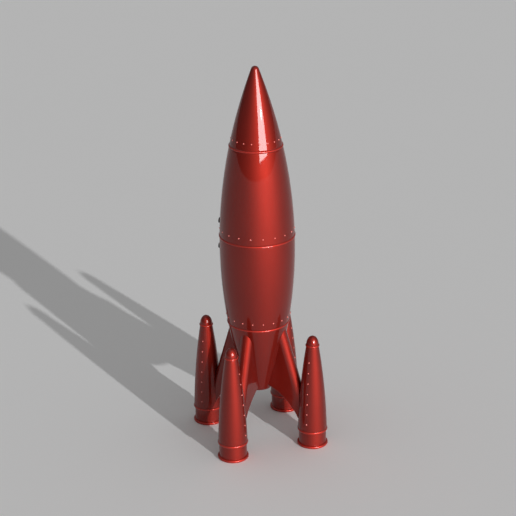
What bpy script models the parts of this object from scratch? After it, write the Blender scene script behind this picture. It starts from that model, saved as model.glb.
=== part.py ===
"""Retro model rocket: a spindle hull on four thick fins that end in bullet-shaped pods.

The rocket stands nose up on its four pods, with the floor at z = 0 and its axis on Z. The hull is
one parabola turned about the axis and split at three beaded seams. The nose pulls off upwards for
the parachute, and the motor slides down out of its tube in the tail.
"""

import math

import bmesh
import bpy
from mathutils import Matrix, Vector

# ---- Driving dimensions, in metres -------------------------------------------------------------

HULL_RADIUS = 0.0434  # widest radius of the hull
HULL_HALF_LENGTH = 0.2205  # from the widest station to either end of the parabola
TAIL_END = 0.0616  # height of the tail's open end above the floor
HULL_WALL = 0.0015
NOSE_TIP_RADIUS = 0.0046

NOSE_SEAM_RISE = 0.1217  # seams, measured from the widest station
WAIST_SEAM_RISE = 0.0147
TAIL_SEAM_DROP = 0.0922
BEAD_WIDTH = 0.0022  # height of a seam bead along the axis
BEAD_PROUD = 0.0008  # how far it stands out of the hull
GAP = 0.0003  # between neighbouring pieces

RIVET_RADIUS = 0.00085
RIVET_PROUD = 0.0006
RIVET_TAPER = 0.55  # a head's top against its root
RIVETS_PER_ROW = 19
RIVET_START = math.radians(2.34)  # a row's first rivet
RIVET_ROW_RISE = 0.0090  # a row's height above its seam

SHOULDER_LENGTH = 0.030  # part of the nose plug that slides in the upper body
SHOULDER_WALL = 0.0015
SHOULDER_FLOOR = 0.0020
COLLAR_LENGTH = 0.0080  # part of the plug that is glued inside the nose
EYE_WIRE_RADIUS = 0.0009
EYE_RADIUS = 0.0035

COUPLER_REACH = 0.0200  # a coupler's length on each side of its seam
COUPLER_WALL = 0.0015
BAY_FLOOR_DROP = 0.0025  # top of the parachute bay's floor below the waist seam
PLY_THICKNESS = 0.0030
BAY_VENT_RADIUS = 0.0120
WADDING_HEIGHT = 0.0180
WADDING_CLEARANCE = 0.0012
PACK_RADIUS = 0.0250
PACK_HEADROOM = 0.0257  # free bay between the packed parachute and the nose plug

MOTOR_DIAMETER = 0.0240
MOTOR_LENGTH = 0.0700
MOTOR_WALL = 0.0030
MOTOR_CLEARANCE = 0.0003
MOTOR_RECESS = 0.0010  # the motor's end inside the tail
NOZZLE_HEIGHT = 0.0140
NOZZLE_RECESS = 0.0020
NOZZLE_THROAT_RADIUS = 0.0020
NOZZLE_MOUTH_RADIUS = 0.0055
MOTOR_CAP_HEIGHT = 0.0030
TUBE_WALL = 0.0007
TUBE_STUB = 0.0060  # tube left above the highest thing it holds
THRUST_RING_HEIGHT = 0.0050
THRUST_RING_WIDTH = 0.0040
TAIL_LAND = 0.0008  # air between the motor tube and the tail's lip
LOWER_RING_RISE = 0.0110  # lower centring ring above the tail's end

GUIDE_AZIMUTH = math.radians(191.0)
GUIDE_OFFSET = 0.0155  # half the distance between the two launch guides
GUIDE_DROP = 0.0025  # the middle of the pair below the waist seam
GUIDE_RADIUS = 0.00315
GUIDE_NECK_RADIUS = 0.0022
GUIDE_BASE = 0.0006
GUIDE_PROUD = 0.0026
SCREW_RADIUS = 0.0008
SCREW_HEAD_RADIUS = 0.0016
SCREW_HEAD_HEIGHT = 0.0007
SCREW_REACH = 0.0040  # shank below the hull's surface

FIN_COUNT = 4
FIN_THICKNESS = 0.0153
FIN_TOP_DROP = 0.0062  # where a fin's leading edge leaves the hull, below the tail seam
FIN_POD_HEIGHT = 0.0720  # where the leading edge reaches the pod
ARCH_ROOT_RISE = 0.0053  # the arch under a fin starts this far above the tail's end
ARCH_FOOT_HEIGHT = 0.0340  # and reaches the pod at this height
FIN_END_SHARE = 0.65  # where a fin's plate ends inside its pod, before the pod's shape is cut away

POD_CIRCLE_RADIUS = 0.0697
POD_RADIUS = 0.0174
POD_TAPER_LENGTH = 0.1665
POD_WALL = 0.0015
POD_CAP_SEAM = 0.1274
POD_CAP_HEIGHT = 0.0115
POD_CAP_SPIGOT = 0.0050
POD_CAP_BEAD_WIDTH = 0.0022
POD_CAP_BEAD_PROUD = 0.0010
POD_BELT_HEIGHT = 0.0201
POD_BELT_WIDTH = 0.0026
POD_BELT_PROUD = 0.0006
POD_SKIRT_STEP = 0.0010  # the skirt set in from the pod at the belt
POD_SPIGOT_LENGTH = 0.0090
POD_FOOT_LIP = 0.0020  # the foot beyond the skirt
POD_FOOT_THICKNESS = 0.0032
POD_FOOT_PLUG = 0.0040
POD_RIVETS_PER_LINE = 7
POD_RIVET_FIRST = 0.0310
POD_RIVET_PITCH = 0.0129

HULL_STEPS = 32  # faces round the hull; a multiple of the fin count
POD_STEPS = 20
SMALL_STEPS = 16
SCREW_STEPS = 10
STATION = 0.0200  # longest facet along the hull's wall
POD_STATION = 0.0260  # and along a pod's

# ---- Sizes that follow ---------------------------------------------------------------------------

TUBE_BORE_RADIUS = MOTOR_DIAMETER / 2 + MOTOR_CLEARANCE
TUBE_RADIUS = TUBE_BORE_RADIUS + TUBE_WALL
TAIL_RADIUS = TUBE_RADIUS + TAIL_LAND + HULL_WALL
BELLY_HEIGHT = TAIL_END + HULL_HALF_LENGTH * math.sqrt(1 - TAIL_RADIUS / HULL_RADIUS)
NOSE_SEAM = BELLY_HEIGHT + NOSE_SEAM_RISE
WAIST_SEAM = BELLY_HEIGHT + WAIST_SEAM_RISE
TAIL_SEAM = BELLY_HEIGHT - TAIL_SEAM_DROP
SEAM_HALF = BEAD_WIDTH / 2 + GAP

# ---- Colours ---------------------------------------------------------------------------------------

RED = (0.58, 0.045, 0.030, 1.0)
BLACK = (0.020, 0.020, 0.022, 1.0)
KRAFT = (0.42, 0.27, 0.15, 1.0)
PLY = (0.62, 0.44, 0.26, 1.0)
CLAY = (0.45, 0.42, 0.38, 1.0)
STEEL = (0.55, 0.56, 0.58, 1.0)
WHITE = (0.80, 0.79, 0.76, 1.0)
CLOTH = (0.85, 0.35, 0.06, 1.0)


def hull_radius(z):
    """Outer radius of the hull at a height: one parabola about the widest station."""
    return HULL_RADIUS * (1 - ((z - BELLY_HEIGHT) / HULL_HALF_LENGTH) ** 2)


def hull_slope(z):
    return -2 * HULL_RADIUS * (z - BELLY_HEIGHT) / HULL_HALF_LENGTH**2


def pod_radius(z):
    """Outer radius of a pod's shell at a height: a parabola whose widest point is on the floor."""
    return POD_RADIUS * (1 - (z / POD_TAPER_LENGTH) ** 2)


def pod_slope(z):
    return -2 * POD_RADIUS * z / POD_TAPER_LENGTH**2


def tip_contact():
    """Height where a ball of the tip's radius, centred on the axis, touches the hull from inside."""
    low, high = NOSE_SEAM, BELLY_HEIGHT + HULL_HALF_LENGTH
    for _ in range(60):
        middle = (low + high) / 2
        ball = hull_radius(middle) * math.hypot(1, hull_slope(middle))
        if ball > NOSE_TIP_RADIUS:
            low = middle
        else:
            high = middle
    return low


TIP_CONTACT = tip_contact()
TIP_CENTRE = TIP_CONTACT + hull_radius(TIP_CONTACT) * hull_slope(TIP_CONTACT)
ROCKET_HEIGHT = TIP_CENTRE + NOSE_TIP_RADIUS


def spaced(start, end, step=STATION):
    """Evenly spaced values from start to end, both included, no further apart than the step."""
    count = max(1, math.ceil(abs(end - start) / step - 1e-6))
    return [start + (end - start) * i / count for i in range(count + 1)]


def hull_wall(top, bottom, inset):
    """Profile points down the hull, set in from its surface."""
    return [(hull_radius(z) - inset, z) for z in spaced(top, bottom)]


def shell_profile(radius_at, top, bottom, outer_inset, wall, step=STATION):
    """A closed profile: down the outer side and back up the inner one."""
    heights = spaced(top, bottom, step)
    outer = [(radius_at(z) - outer_inset, z) for z in heights]
    inner = [(radius_at(z) - outer_inset - wall, z) for z in reversed(heights)]
    return outer + inner


def bead_profile(radius, height, inner, width, proud, crown_angles=(90, 0, -90)):
    """A seam bead: square inside, half round where it stands out of the surface."""
    half = width / 2
    crown = [
        (radius + proud * math.cos(turn), height + half * math.sin(turn))
        for turn in (math.radians(a) for a in crown_angles)
    ]
    return crown + [(inner, height - half), (inner, height + half)]


# ---- Builders --------------------------------------------------------------------------------------


def clear_scene():
    for obj in list(bpy.data.objects):
        bpy.data.objects.remove(obj, do_unlink=True)


def new_collection(name, hidden=False):
    collection = bpy.data.collections.new(name)
    bpy.context.scene.collection.children.link(collection)
    collection.hide_render = hidden
    return collection


def principled(name, colour, roughness, metallic=0.0, coat=0.0):
    material = bpy.data.materials.new(name)
    material.use_nodes = True
    shader = material.node_tree.nodes["Principled BSDF"]
    shader.inputs["Base Color"].default_value = colour
    shader.inputs["Roughness"].default_value = roughness
    shader.inputs["Metallic"].default_value = metallic
    shader.inputs["Coat Weight"].default_value = coat
    return material


def place(name, mesh, collection, material, parent=None, rotation=0.0, origin=(0, 0, 0)):
    """An object for the mesh, whose points are given from the rocket's or its parent's origin."""
    obj = bpy.data.objects.new(name, mesh)
    collection.objects.link(obj)
    if material is not None and not mesh.materials:
        mesh.materials.append(material)
    obj.parent = parent
    obj.location = origin
    obj.rotation_euler = (0, 0, rotation)
    return obj


def turned_mesh(name, profile, closed=True, origin=(0, 0, 0)):
    """The edges of a profile in the XZ plane, for a Screw modifier to turn about Z."""
    mesh = bpy.data.meshes.new(name)
    points = [(r - origin[0], -origin[1], z - origin[2]) for r, z in profile]
    edges = [(i, i + 1) for i in range(len(points) - 1)]
    if closed:
        edges.append((len(points) - 1, 0))
    mesh.from_pydata(points, edges, [])
    return mesh


def add_screw(obj, steps):
    screw = obj.modifiers.new("turn", "SCREW")
    screw.steps = steps
    screw.render_steps = steps
    screw.use_merge_vertices = True
    screw.merge_threshold = 0.00001
    screw.use_smooth_shade = True
    return screw


def turned(name, profile, collection, material, steps=HULL_STEPS, closed=True, **where):
    """A turned piece. A profile that starts and ends on the axis is given as open."""
    mesh = turned_mesh(name, profile, closed, where.get("origin", (0, 0, 0)))
    obj = place(name, mesh, collection, material, **where)
    add_screw(obj, steps)
    return obj


def boolean(obj, operation, other):
    modifier = obj.modifiers.new(f"{operation.lower()} {other.name}", "BOOLEAN")
    modifier.operation = operation
    modifier.solver = "EXACT"
    modifier.object = other


def cutter(obj):
    obj.hide_render = True
    obj.display_type = "WIRE"
    return obj


def baked(obj, name):
    """The object's mesh with its modifiers applied, and the object itself removed."""
    bpy.context.view_layer.update()
    graph = bpy.context.evaluated_depsgraph_get()
    mesh = bpy.data.meshes.new_from_object(obj.evaluated_get(graph))
    mesh.name = name
    bpy.data.objects.remove(obj, do_unlink=True)
    return mesh


def facing(point, normal):
    """A matrix that stands a shape's Z axis along the normal at the point."""
    turn = Vector((0, 0, 1)).rotation_difference(Vector(normal))
    return Matrix.Translation(point) @ turn.to_matrix().to_4x4()


def rivet_heads(name, places, collection):
    """Small tapered heads, each with its root sunk in the wall, at each (point, normal)."""
    bm = bmesh.new()
    for point, normal in places:
        bmesh.ops.create_cone(
            bm,
            cap_ends=True,
            segments=5,
            radius1=RIVET_RADIUS,
            radius2=RIVET_RADIUS * RIVET_TAPER,
            depth=2 * RIVET_PROUD,
            matrix=facing(point, normal),
        )
    mesh = bpy.data.meshes.new(name)
    bm.to_mesh(mesh)
    bm.free()
    return cutter(place(name, mesh, collection, None))


def surface_place(radius, slope, z, azimuth, centre=(0.0, 0.0)):
    """A point on a turned surface, and the surface's normal there."""
    across = Vector((math.cos(azimuth), math.sin(azimuth), 0))
    point = across * radius + Vector((centre[0], centre[1], z))
    return point, (across + Vector((0, 0, -slope))).normalized()


def hull_rivet_row(name, seam, collection):
    """A row of rivets above a seam."""
    z = seam + RIVET_ROW_RISE
    pitch = 2 * math.pi / RIVETS_PER_ROW
    flat = math.cos(math.pi / HULL_STEPS)
    return rivet_heads(
        name,
        [
            surface_place(hull_radius(z) * flat, hull_slope(z), z, RIVET_START + i * pitch)
            for i in range(RIVETS_PER_ROW)
        ],
        collection,
    )


# ---- Hull --------------------------------------------------------------------------------------------


def nose_tip_profile(inset):
    """Down the ball at the tip to where it meets the hull, set in by the wall."""
    contact = math.asin((TIP_CONTACT - TIP_CENTRE) / NOSE_TIP_RADIUS)
    radius = NOSE_TIP_RADIUS - inset
    turns = spaced(math.pi / 2, contact, math.radians(20))
    return [(radius * max(0.0, math.cos(t)), TIP_CENTRE + radius * math.sin(t)) for t in turns]


def build_nose(parts, cutters, paint):
    """The nose shell, the plug glued into it and the eye for the recovery line."""
    base = NOSE_SEAM + SEAM_HALF
    outer = nose_tip_profile(0)[:-1] + hull_wall(TIP_CONTACT, base, 0)
    inner = hull_wall(TIP_CONTACT, base, HULL_WALL)
    inner = nose_tip_profile(HULL_WALL)[:-1] + inner
    origin = (0, 0, NOSE_SEAM)
    nose = turned(
        "nose_cone", outer + inner[::-1], parts, paint, closed=False, origin=origin
    )
    boolean(nose, "UNION", hull_rivet_row("nose_rivets", NOSE_SEAM, cutters))
    build_nose_plug(parts, origin)
    build_eye(parts, cutters, origin)
    return nose


def plug_radius():
    """Radius of the nose plug, which fits the top of the upper body."""
    return hull_radius(NOSE_SEAM - SEAM_HALF) - HULL_WALL - GAP


def build_nose_plug(parts, origin):
    collar_top = NOSE_SEAM + COLLAR_LENGTH
    collar = min(hull_radius(collar_top) - HULL_WALL - GAP, plug_radius())
    bottom = NOSE_SEAM - SHOULDER_LENGTH
    step = NOSE_SEAM + SEAM_HALF - 2 * GAP
    outer = [(collar, collar_top), (collar, step), (plug_radius(), step)]
    outer += [(plug_radius(), bottom), (0, bottom)]
    inner = [(0, bottom + SHOULDER_FLOOR), (plug_radius() - SHOULDER_WALL, bottom + SHOULDER_FLOOR)]
    inner += [(plug_radius() - SHOULDER_WALL, step - SHOULDER_WALL)]
    inner += [(collar - SHOULDER_WALL, step - SHOULDER_WALL), (collar - SHOULDER_WALL, collar_top)]
    material = principled("moulded plug", WHITE, 0.45)
    mesh = turned_mesh("nose_plug", outer + inner, True, origin)
    plug = place("nose_plug", mesh, parts, material, origin=origin)
    add_screw(plug, HULL_STEPS)


def build_eye(parts, cutters, origin):
    """A closed wire loop on a short shank, under the plug's floor."""
    bottom = NOSE_SEAM - SHOULDER_LENGTH - GAP
    shank = EYE_RADIUS * 0.8
    loop_height = bottom - shank - EYE_RADIUS
    bpy.ops.mesh.primitive_torus_add(
        major_radius=EYE_RADIUS,
        minor_radius=EYE_WIRE_RADIUS,
        major_segments=14,
        minor_segments=6,
        location=(0, 0, loop_height),
        rotation=(math.pi / 2, 0, 0),
    )
    eye = bpy.context.object
    eye.name = "recovery_eye"
    adopt(eye, parts)
    eye.data.materials.append(principled("zinc wire", STEEL, 0.35, 1.0))
    disc = EYE_WIRE_RADIUS * 2.5
    post = [(0, bottom), (disc, bottom), (disc, bottom - EYE_WIRE_RADIUS)]
    post += [(EYE_WIRE_RADIUS, bottom - EYE_WIRE_RADIUS)]
    post += [(EYE_WIRE_RADIUS, loop_height + EYE_RADIUS), (0, loop_height + EYE_RADIUS)]
    shank_object = cutter(turned("eye_shank", post, cutters, None, steps=SCREW_STEPS, closed=False))
    boolean(eye, "UNION", shank_object)


def adopt(obj, collection):
    for other in list(obj.users_collection):
        other.objects.unlink(obj)
    collection.objects.link(obj)


def build_seam_ring(name, seam, parts, paint):
    radius = hull_radius(seam)
    inner = max(hull_radius(seam + SEAM_HALF), hull_radius(seam - SEAM_HALF)) - HULL_WALL
    crown = (90, 45, 0, -45, -90)
    profile = bead_profile(radius, seam, inner, BEAD_WIDTH, BEAD_PROUD, crown)
    return turned(name, profile, parts, paint)


def build_body(parts, cutters, paint):
    """The two body shells, the tail cone, the seam rings and the couplers inside them."""
    limits = {
        "upper_body": (NOSE_SEAM - SEAM_HALF, WAIST_SEAM + SEAM_HALF),
        "lower_body": (WAIST_SEAM - SEAM_HALF, TAIL_SEAM + SEAM_HALF),
        "tail_cone": (TAIL_SEAM - SEAM_HALF, TAIL_END),
    }
    shells = {}
    for name, (top, bottom) in limits.items():
        profile = shell_profile(hull_radius, top, bottom, 0, HULL_WALL)
        shells[name] = turned(name, profile, parts, paint)
    boolean(shells["upper_body"], "UNION", hull_rivet_row("waist_rivets", WAIST_SEAM, cutters))
    boolean(shells["lower_body"], "UNION", hull_rivet_row("tail_rivets", TAIL_SEAM, cutters))
    build_seam_ring("nose_ring", NOSE_SEAM, parts, paint)
    build_seam_ring("waist_ring", WAIST_SEAM, parts, paint)
    build_seam_ring("tail_ring", TAIL_SEAM, parts, paint)
    card = principled("coupler styrene", WHITE, 0.5)
    for name, seam in (("waist_coupler", WAIST_SEAM), ("tail_coupler", TAIL_SEAM)):
        profile = shell_profile(
            hull_radius, seam + COUPLER_REACH, seam - COUPLER_REACH, HULL_WALL + GAP, COUPLER_WALL
        )
        shells[name] = turned(name, profile, parts, card)
    return shells


def coupler_bore(z):
    return hull_radius(z) - HULL_WALL - GAP - COUPLER_WALL


def build_bay(parts):
    """The parachute bay's vented floor, the wadding on it and the packed parachute."""
    top = WAIST_SEAM - BAY_FLOOR_DROP
    bottom = top - PLY_THICKNESS
    edge = [(coupler_bore(z) - GAP, z) for z in (top, bottom)]
    floor = edge + [(BAY_VENT_RADIUS, bottom), (BAY_VENT_RADIUS, top)]
    turned("bay_floor", floor, parts, principled("bay plywood", PLY, 0.7))
    wadding_base = top + GAP
    wadding_top = wadding_base + WADDING_HEIGHT
    radius = coupler_bore(WAIST_SEAM + COUPLER_REACH) - WADDING_CLEARANCE
    puck = rounded_puck(radius, wadding_base, wadding_top, WADDING_HEIGHT / 4)
    turned("wadding", puck, parts, principled("wadding", WHITE, 0.95), closed=False, steps=SMALL_STEPS)
    pack_base = wadding_top + GAP
    pack_top = NOSE_SEAM - SHOULDER_LENGTH - PACK_HEADROOM
    puck = rounded_puck(PACK_RADIUS, pack_base, pack_top, WADDING_HEIGHT / 3)
    cloth = principled("parachute cloth", CLOTH, 0.8)
    turned("parachute_pack", puck, parts, cloth, closed=False, steps=SMALL_STEPS)


def rounded_puck(radius, bottom, top, corner):
    """Half the outline of a disc with round edges, from the axis at the top to the axis below."""
    turns = [math.radians(a) for a in (90, 45, 0)]
    upper = [
        (radius - corner + corner * math.cos(t), top - corner + corner * math.sin(t)) for t in turns
    ]
    lower = [(r, bottom + top - z) for r, z in reversed(upper)]
    return [(0, top)] + upper + lower + [(0, bottom)]


# ---- Motor and its mount -----------------------------------------------------------------------------


def build_motor(parts):
    """The motor: paper case, clay nozzle and the cap on its charge."""
    bottom = TAIL_END + MOTOR_RECESS
    top = bottom + MOTOR_LENGTH
    radius = MOTOR_DIAMETER / 2
    bore = radius - MOTOR_WALL
    origin = (0, 0, bottom)
    case = [(radius, top), (radius, bottom), (bore, bottom), (bore, top)]
    kraft = principled("motor paper", KRAFT, 0.75)
    turned("motor_case", case, parts, kraft, steps=POD_STEPS, origin=origin)
    plug = bore - GAP
    low = bottom + NOZZLE_RECESS
    high = low + NOZZLE_HEIGHT
    throat = low + NOZZLE_HEIGHT / 2
    nozzle = [(plug, high), (plug, low), (NOZZLE_MOUTH_RADIUS, low)]
    nozzle += [(NOZZLE_THROAT_RADIUS, throat), (NOZZLE_THROAT_RADIUS, high)]
    clay = principled("nozzle clay", CLAY, 0.9)
    turned("motor_nozzle", nozzle, parts, clay, steps=SMALL_STEPS, origin=origin)
    grain = [(0, top - GAP - MOTOR_CAP_HEIGHT), (plug, top - GAP - MOTOR_CAP_HEIGHT)]
    grain += [(plug, high + GAP), (0, high + GAP)]
    powder = principled("motor grain", BLACK, 0.95)
    turned("motor_grain", grain, parts, powder, steps=SMALL_STEPS, closed=False, origin=origin)
    cap = [(0, top), (plug, top), (plug, top - MOTOR_CAP_HEIGHT), (0, top - MOTOR_CAP_HEIGHT)]
    turned("motor_cap", cap, parts, clay, steps=SMALL_STEPS, closed=False, origin=origin)
    return top


def build_motor_mount(parts, motor_top):
    """The tube that takes the motor, the ring that takes its thrust and the two centring rings."""
    thrust_bottom = motor_top + GAP
    thrust_top = thrust_bottom + THRUST_RING_HEIGHT
    upper_top = TAIL_SEAM - COUPLER_REACH - GAP
    tube_top = max(thrust_top, upper_top) + TUBE_STUB
    tube = [(TUBE_RADIUS, tube_top), (TUBE_RADIUS, TAIL_END)]
    tube += [(TUBE_BORE_RADIUS, TAIL_END), (TUBE_BORE_RADIUS, tube_top)]
    card = principled("mount card", KRAFT, 0.8)
    turned("motor_tube", tube, parts, card, steps=POD_STEPS)
    outer = TUBE_BORE_RADIUS - GAP
    inner = outer - THRUST_RING_WIDTH
    ring = [(outer, thrust_top), (outer, thrust_bottom), (inner, thrust_bottom), (inner, thrust_top)]
    turned("thrust_ring", ring, parts, card, steps=POD_STEPS)
    ply = principled("mount plywood", PLY, 0.7)
    lower_top = TAIL_END + LOWER_RING_RISE + PLY_THICKNESS
    for name, top in (("upper_centring_ring", upper_top), ("lower_centring_ring", lower_top)):
        edge = [(hull_radius(z) - HULL_WALL - GAP, z) for z in (top, top - PLY_THICKNESS)]
        bore = TUBE_RADIUS + GAP
        turned(name, edge + [(bore, top - PLY_THICKNESS), (bore, top)], parts, ply)


# ---- Launch guides -----------------------------------------------------------------------------------


def build_guide(which, z, shell, coupler, parts, cutters):
    """A low spool on the hull, with its screw through the hull and the coupler behind it."""
    point, normal = surface_place(hull_radius(z), hull_slope(z), z, GUIDE_AZIMUTH)
    seat = facing(point, normal)
    bore = SCREW_RADIUS + GAP
    head_seat = GUIDE_PROUD - SCREW_HEAD_HEIGHT - GAP
    neck_low, neck_high = GAP + GUIDE_BASE, GUIDE_PROUD - GUIDE_BASE * 1.5
    spool = [(GUIDE_RADIUS, GUIDE_PROUD), (GUIDE_RADIUS, neck_high)]
    spool += [(GUIDE_NECK_RADIUS, neck_high), (GUIDE_NECK_RADIUS, neck_low)]
    spool += [(GUIDE_RADIUS, neck_low), (GUIDE_RADIUS, GAP), (bore, GAP), (bore, head_seat)]
    spool += [(SCREW_HEAD_RADIUS + GAP, head_seat), (SCREW_HEAD_RADIUS + GAP, GUIDE_PROUD)]
    black = principled(f"{which} guide acetal", BLACK, 0.4)
    guide = turned(f"{which}_launch_guide", spool, parts, black, steps=SCREW_STEPS)
    guide.matrix_world = seat
    under = GUIDE_PROUD - SCREW_HEAD_HEIGHT
    screw = [(0, GUIDE_PROUD), (SCREW_HEAD_RADIUS, GUIDE_PROUD), (SCREW_HEAD_RADIUS, under)]
    screw += [(SCREW_RADIUS, under), (SCREW_RADIUS, -SCREW_REACH), (0, -SCREW_REACH)]
    steel = principled(f"{which} screw steel", STEEL, 0.3, 1.0)
    pin = turned(f"{which}_guide_screw", screw, parts, steel, steps=SCREW_STEPS, closed=False)
    pin.matrix_world = seat
    hole = [(0, GUIDE_PROUD), (bore, GUIDE_PROUD), (bore, -2 * SCREW_REACH), (0, -2 * SCREW_REACH)]
    drill = cutter(turned(f"{which}_guide_drill", hole, cutters, None, steps=SCREW_STEPS, closed=False))
    drill.matrix_world = seat
    boolean(shell, "DIFFERENCE", drill)
    boolean(coupler, "DIFFERENCE", drill)


# ---- Fins --------------------------------------------------------------------------------------------


def arch_points(count=9):
    """The arch under a fin: part of a circle centred on the floor, from the tail to the pod."""
    z1 = TAIL_END + ARCH_ROOT_RISE
    r1 = hull_radius(z1)
    z2 = ARCH_FOOT_HEIGHT
    r2 = POD_CIRCLE_RADIUS - pod_radius(z2)
    centre = (r2**2 + z2**2 - r1**2 - z1**2) / (2 * (r2 - r1))
    radius = math.hypot(r1 - centre, z1)
    start = math.atan2(z1, r1 - centre)
    end = math.atan2(z2, r2 - centre)
    turns = [start + (end - start) * i / count for i in range(count + 1)]
    return [(centre + radius * math.cos(t), radius * math.sin(t)) for t in turns]


def fin_mesh(cutters):
    """One fin towards +X: a thick plate with a full round leading edge, cut by the hull and the pod."""
    top = TAIL_SEAM - FIN_TOP_DROP
    crest = hull_radius(top)
    foot = POD_CIRCLE_RADIUS - pod_radius(FIN_POD_HEIGHT)
    run = (foot - crest) / (top - FIN_POD_HEIGHT)
    inside = hull_radius(top) * 0.35
    above = (inside, top + (crest - inside) / run)
    end = POD_CIRCLE_RADIUS - pod_radius(FIN_POD_HEIGHT) * FIN_END_SHARE
    arch = arch_points()
    outline = [above, (end, FIN_POD_HEIGHT - (end - foot) / run)]
    outline += [(end, arch[-1][1])] + arch[::-1]
    outline += [(inside / 2, arch[0][1])]
    bm = bmesh.new()
    half = FIN_THICKNESS / 2
    loop = [bm.verts.new((r, -half, z)) for r, z in outline]
    face = bm.faces.new(loop)
    swept = bmesh.ops.extrude_face_region(bm, geom=[face])["geom"]
    side = [v for v in swept if isinstance(v, bmesh.types.BMVert)]
    bmesh.ops.translate(bm, verts=side, vec=(0, FIN_THICKNESS, 0))
    bmesh.ops.recalc_face_normals(bm, faces=bm.faces)
    mesh = bpy.data.meshes.new("fin_plate")
    bm.to_mesh(mesh)
    bm.free()
    weights = mesh.attributes.new("bevel_weight_edge", "FLOAT", "EDGE")
    for edge in mesh.edges:
        a, b = (mesh.vertices[i].co for i in edge.vertices)
        along = abs(a.y - b.y) < 1e-6
        leading = along and {round(a.x, 6), round(b.x, 6)} == {
            round(outline[0][0], 6),
            round(outline[1][0], 6),
        }
        weights.data[edge.index].value = 1.0 if leading else 0.0
    plate = place("fin_plate", mesh, cutters, None)
    bevel = plate.modifiers.new("leading edge", "BEVEL")
    bevel.limit_method = "WEIGHT"
    bevel.width = half * 0.995
    bevel.segments = 5
    clear = above[1] + FIN_THICKNESS
    hull = [(0, clear), (hull_radius(TAIL_SEAM) + GAP, clear)]
    hull += [(hull_radius(z) + GAP, z) for z in spaced(TAIL_SEAM, TAIL_END)]
    hull += [(0, TAIL_END)]
    pod_top = FIN_POD_HEIGHT + POD_RADIUS
    pod = [(0, pod_top)]
    pod += [(pod_radius(z) + GAP, z) for z in spaced(pod_top, POD_BELT_HEIGHT)]
    pod += [(0, POD_BELT_HEIGHT)]
    hull_cut = cutter(turned("hull_cut", hull, cutters, None, closed=False))
    pod_cut = turned("pod_cut", pod, cutters, None, steps=POD_STEPS, closed=False)
    pod_cut.location.x = POD_CIRCLE_RADIUS
    boolean(plate, "DIFFERENCE", hull_cut)
    boolean(plate, "DIFFERENCE", cutter(pod_cut))
    return baked(plate, "fin")


FIN_NAMES = ("right", "back", "left", "front")


def build_fins(parts, cutters, paint):
    mesh = fin_mesh(cutters)
    mesh.set_sharp_from_angle(angle=math.radians(30))
    for index, side in enumerate(FIN_NAMES):
        place(f"{side}_fin", mesh, parts, paint, rotation=index * 2 * math.pi / FIN_COUNT)


# ---- Pods --------------------------------------------------------------------------------------------


def pod_shell_mesh(cutters):
    """The tapered shell with a line of rivets down each side, halfway round from the fin."""
    top = POD_CAP_SEAM - POD_CAP_BEAD_WIDTH / 2 - GAP
    bottom = POD_BELT_HEIGHT + POD_BELT_WIDTH / 2 + GAP
    profile = shell_profile(pod_radius, top, bottom, 0, POD_WALL, POD_STATION)
    shell = turned("pod_shell", profile, cutters, None, steps=POD_STEPS)
    heads = []
    for i in range(POD_RIVETS_PER_LINE):
        z = POD_RIVET_FIRST + i * POD_RIVET_PITCH
        for azimuth in (math.pi / 2, -math.pi / 2):
            heads.append(surface_place(pod_radius(z), pod_slope(z), z, azimuth))
    boolean(shell, "UNION", rivet_heads("pod_rivets", heads, cutters))
    return baked(shell, "pod_shell")


def pod_profiles():
    """The pod's other turned pieces, by name, each with whether its profile is closed."""
    seam = pod_radius(POD_CAP_SEAM)
    cap_base = POD_CAP_SEAM + POD_CAP_BEAD_WIDTH / 2 + GAP
    rise = POD_CAP_SEAM + POD_CAP_HEIGHT - cap_base
    turns = [math.radians(a) for a in (90, 65, 40, 18, 0)]
    dome = [(seam * max(0.0, math.cos(t)), cap_base + rise * math.sin(t)) for t in turns]
    low = POD_CAP_SEAM - POD_CAP_SPIGOT
    spigot = seam - POD_WALL - GAP
    cap = dome + [(spigot, cap_base), (spigot, low), (0, low)]
    ring = bead_profile(
        seam, POD_CAP_SEAM, spigot + GAP, POD_CAP_BEAD_WIDTH, POD_CAP_BEAD_PROUD
    )
    inside = pod_radius(POD_BELT_HEIGHT + POD_SPIGOT_LENGTH) - POD_WALL - GAP
    belt_radius = pod_radius(POD_BELT_HEIGHT)
    belt = bead_profile(
        belt_radius, POD_BELT_HEIGHT, inside + GAP, POD_BELT_WIDTH, POD_BELT_PROUD
    )
    step = POD_BELT_HEIGHT - POD_BELT_WIDTH / 2 - GAP
    foot_top = POD_FOOT_THICKNESS + GAP
    skirt = [(inside, POD_BELT_HEIGHT + POD_SPIGOT_LENGTH), (inside, step)]
    skirt_radius = belt_radius - POD_SKIRT_STEP
    skirt += [(skirt_radius, step), (skirt_radius, foot_top)]
    bore = min(inside, skirt_radius) - POD_WALL
    skirt += [(bore, foot_top), (bore, POD_BELT_HEIGHT + POD_SPIGOT_LENGTH)]
    half = POD_FOOT_THICKNESS / 2
    core = skirt_radius + POD_FOOT_LIP - half
    lip = [(core + half * math.cos(t), half + half * math.sin(t)) for t in
           (math.radians(a) for a in (90, 30, -30, -90))]
    plug = bore - GAP
    crown = POD_FOOT_THICKNESS + POD_FOOT_PLUG
    foot = [(0, crown), (plug, crown), (plug, POD_FOOT_THICKNESS)] + lip + [(0, 0)]
    return {
        "cap": (cap, False),
        "cap_ring": (ring, True),
        "belt_ring": (belt, True),
        "skirt": (skirt, True),
        "foot": (foot, False),
    }


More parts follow.
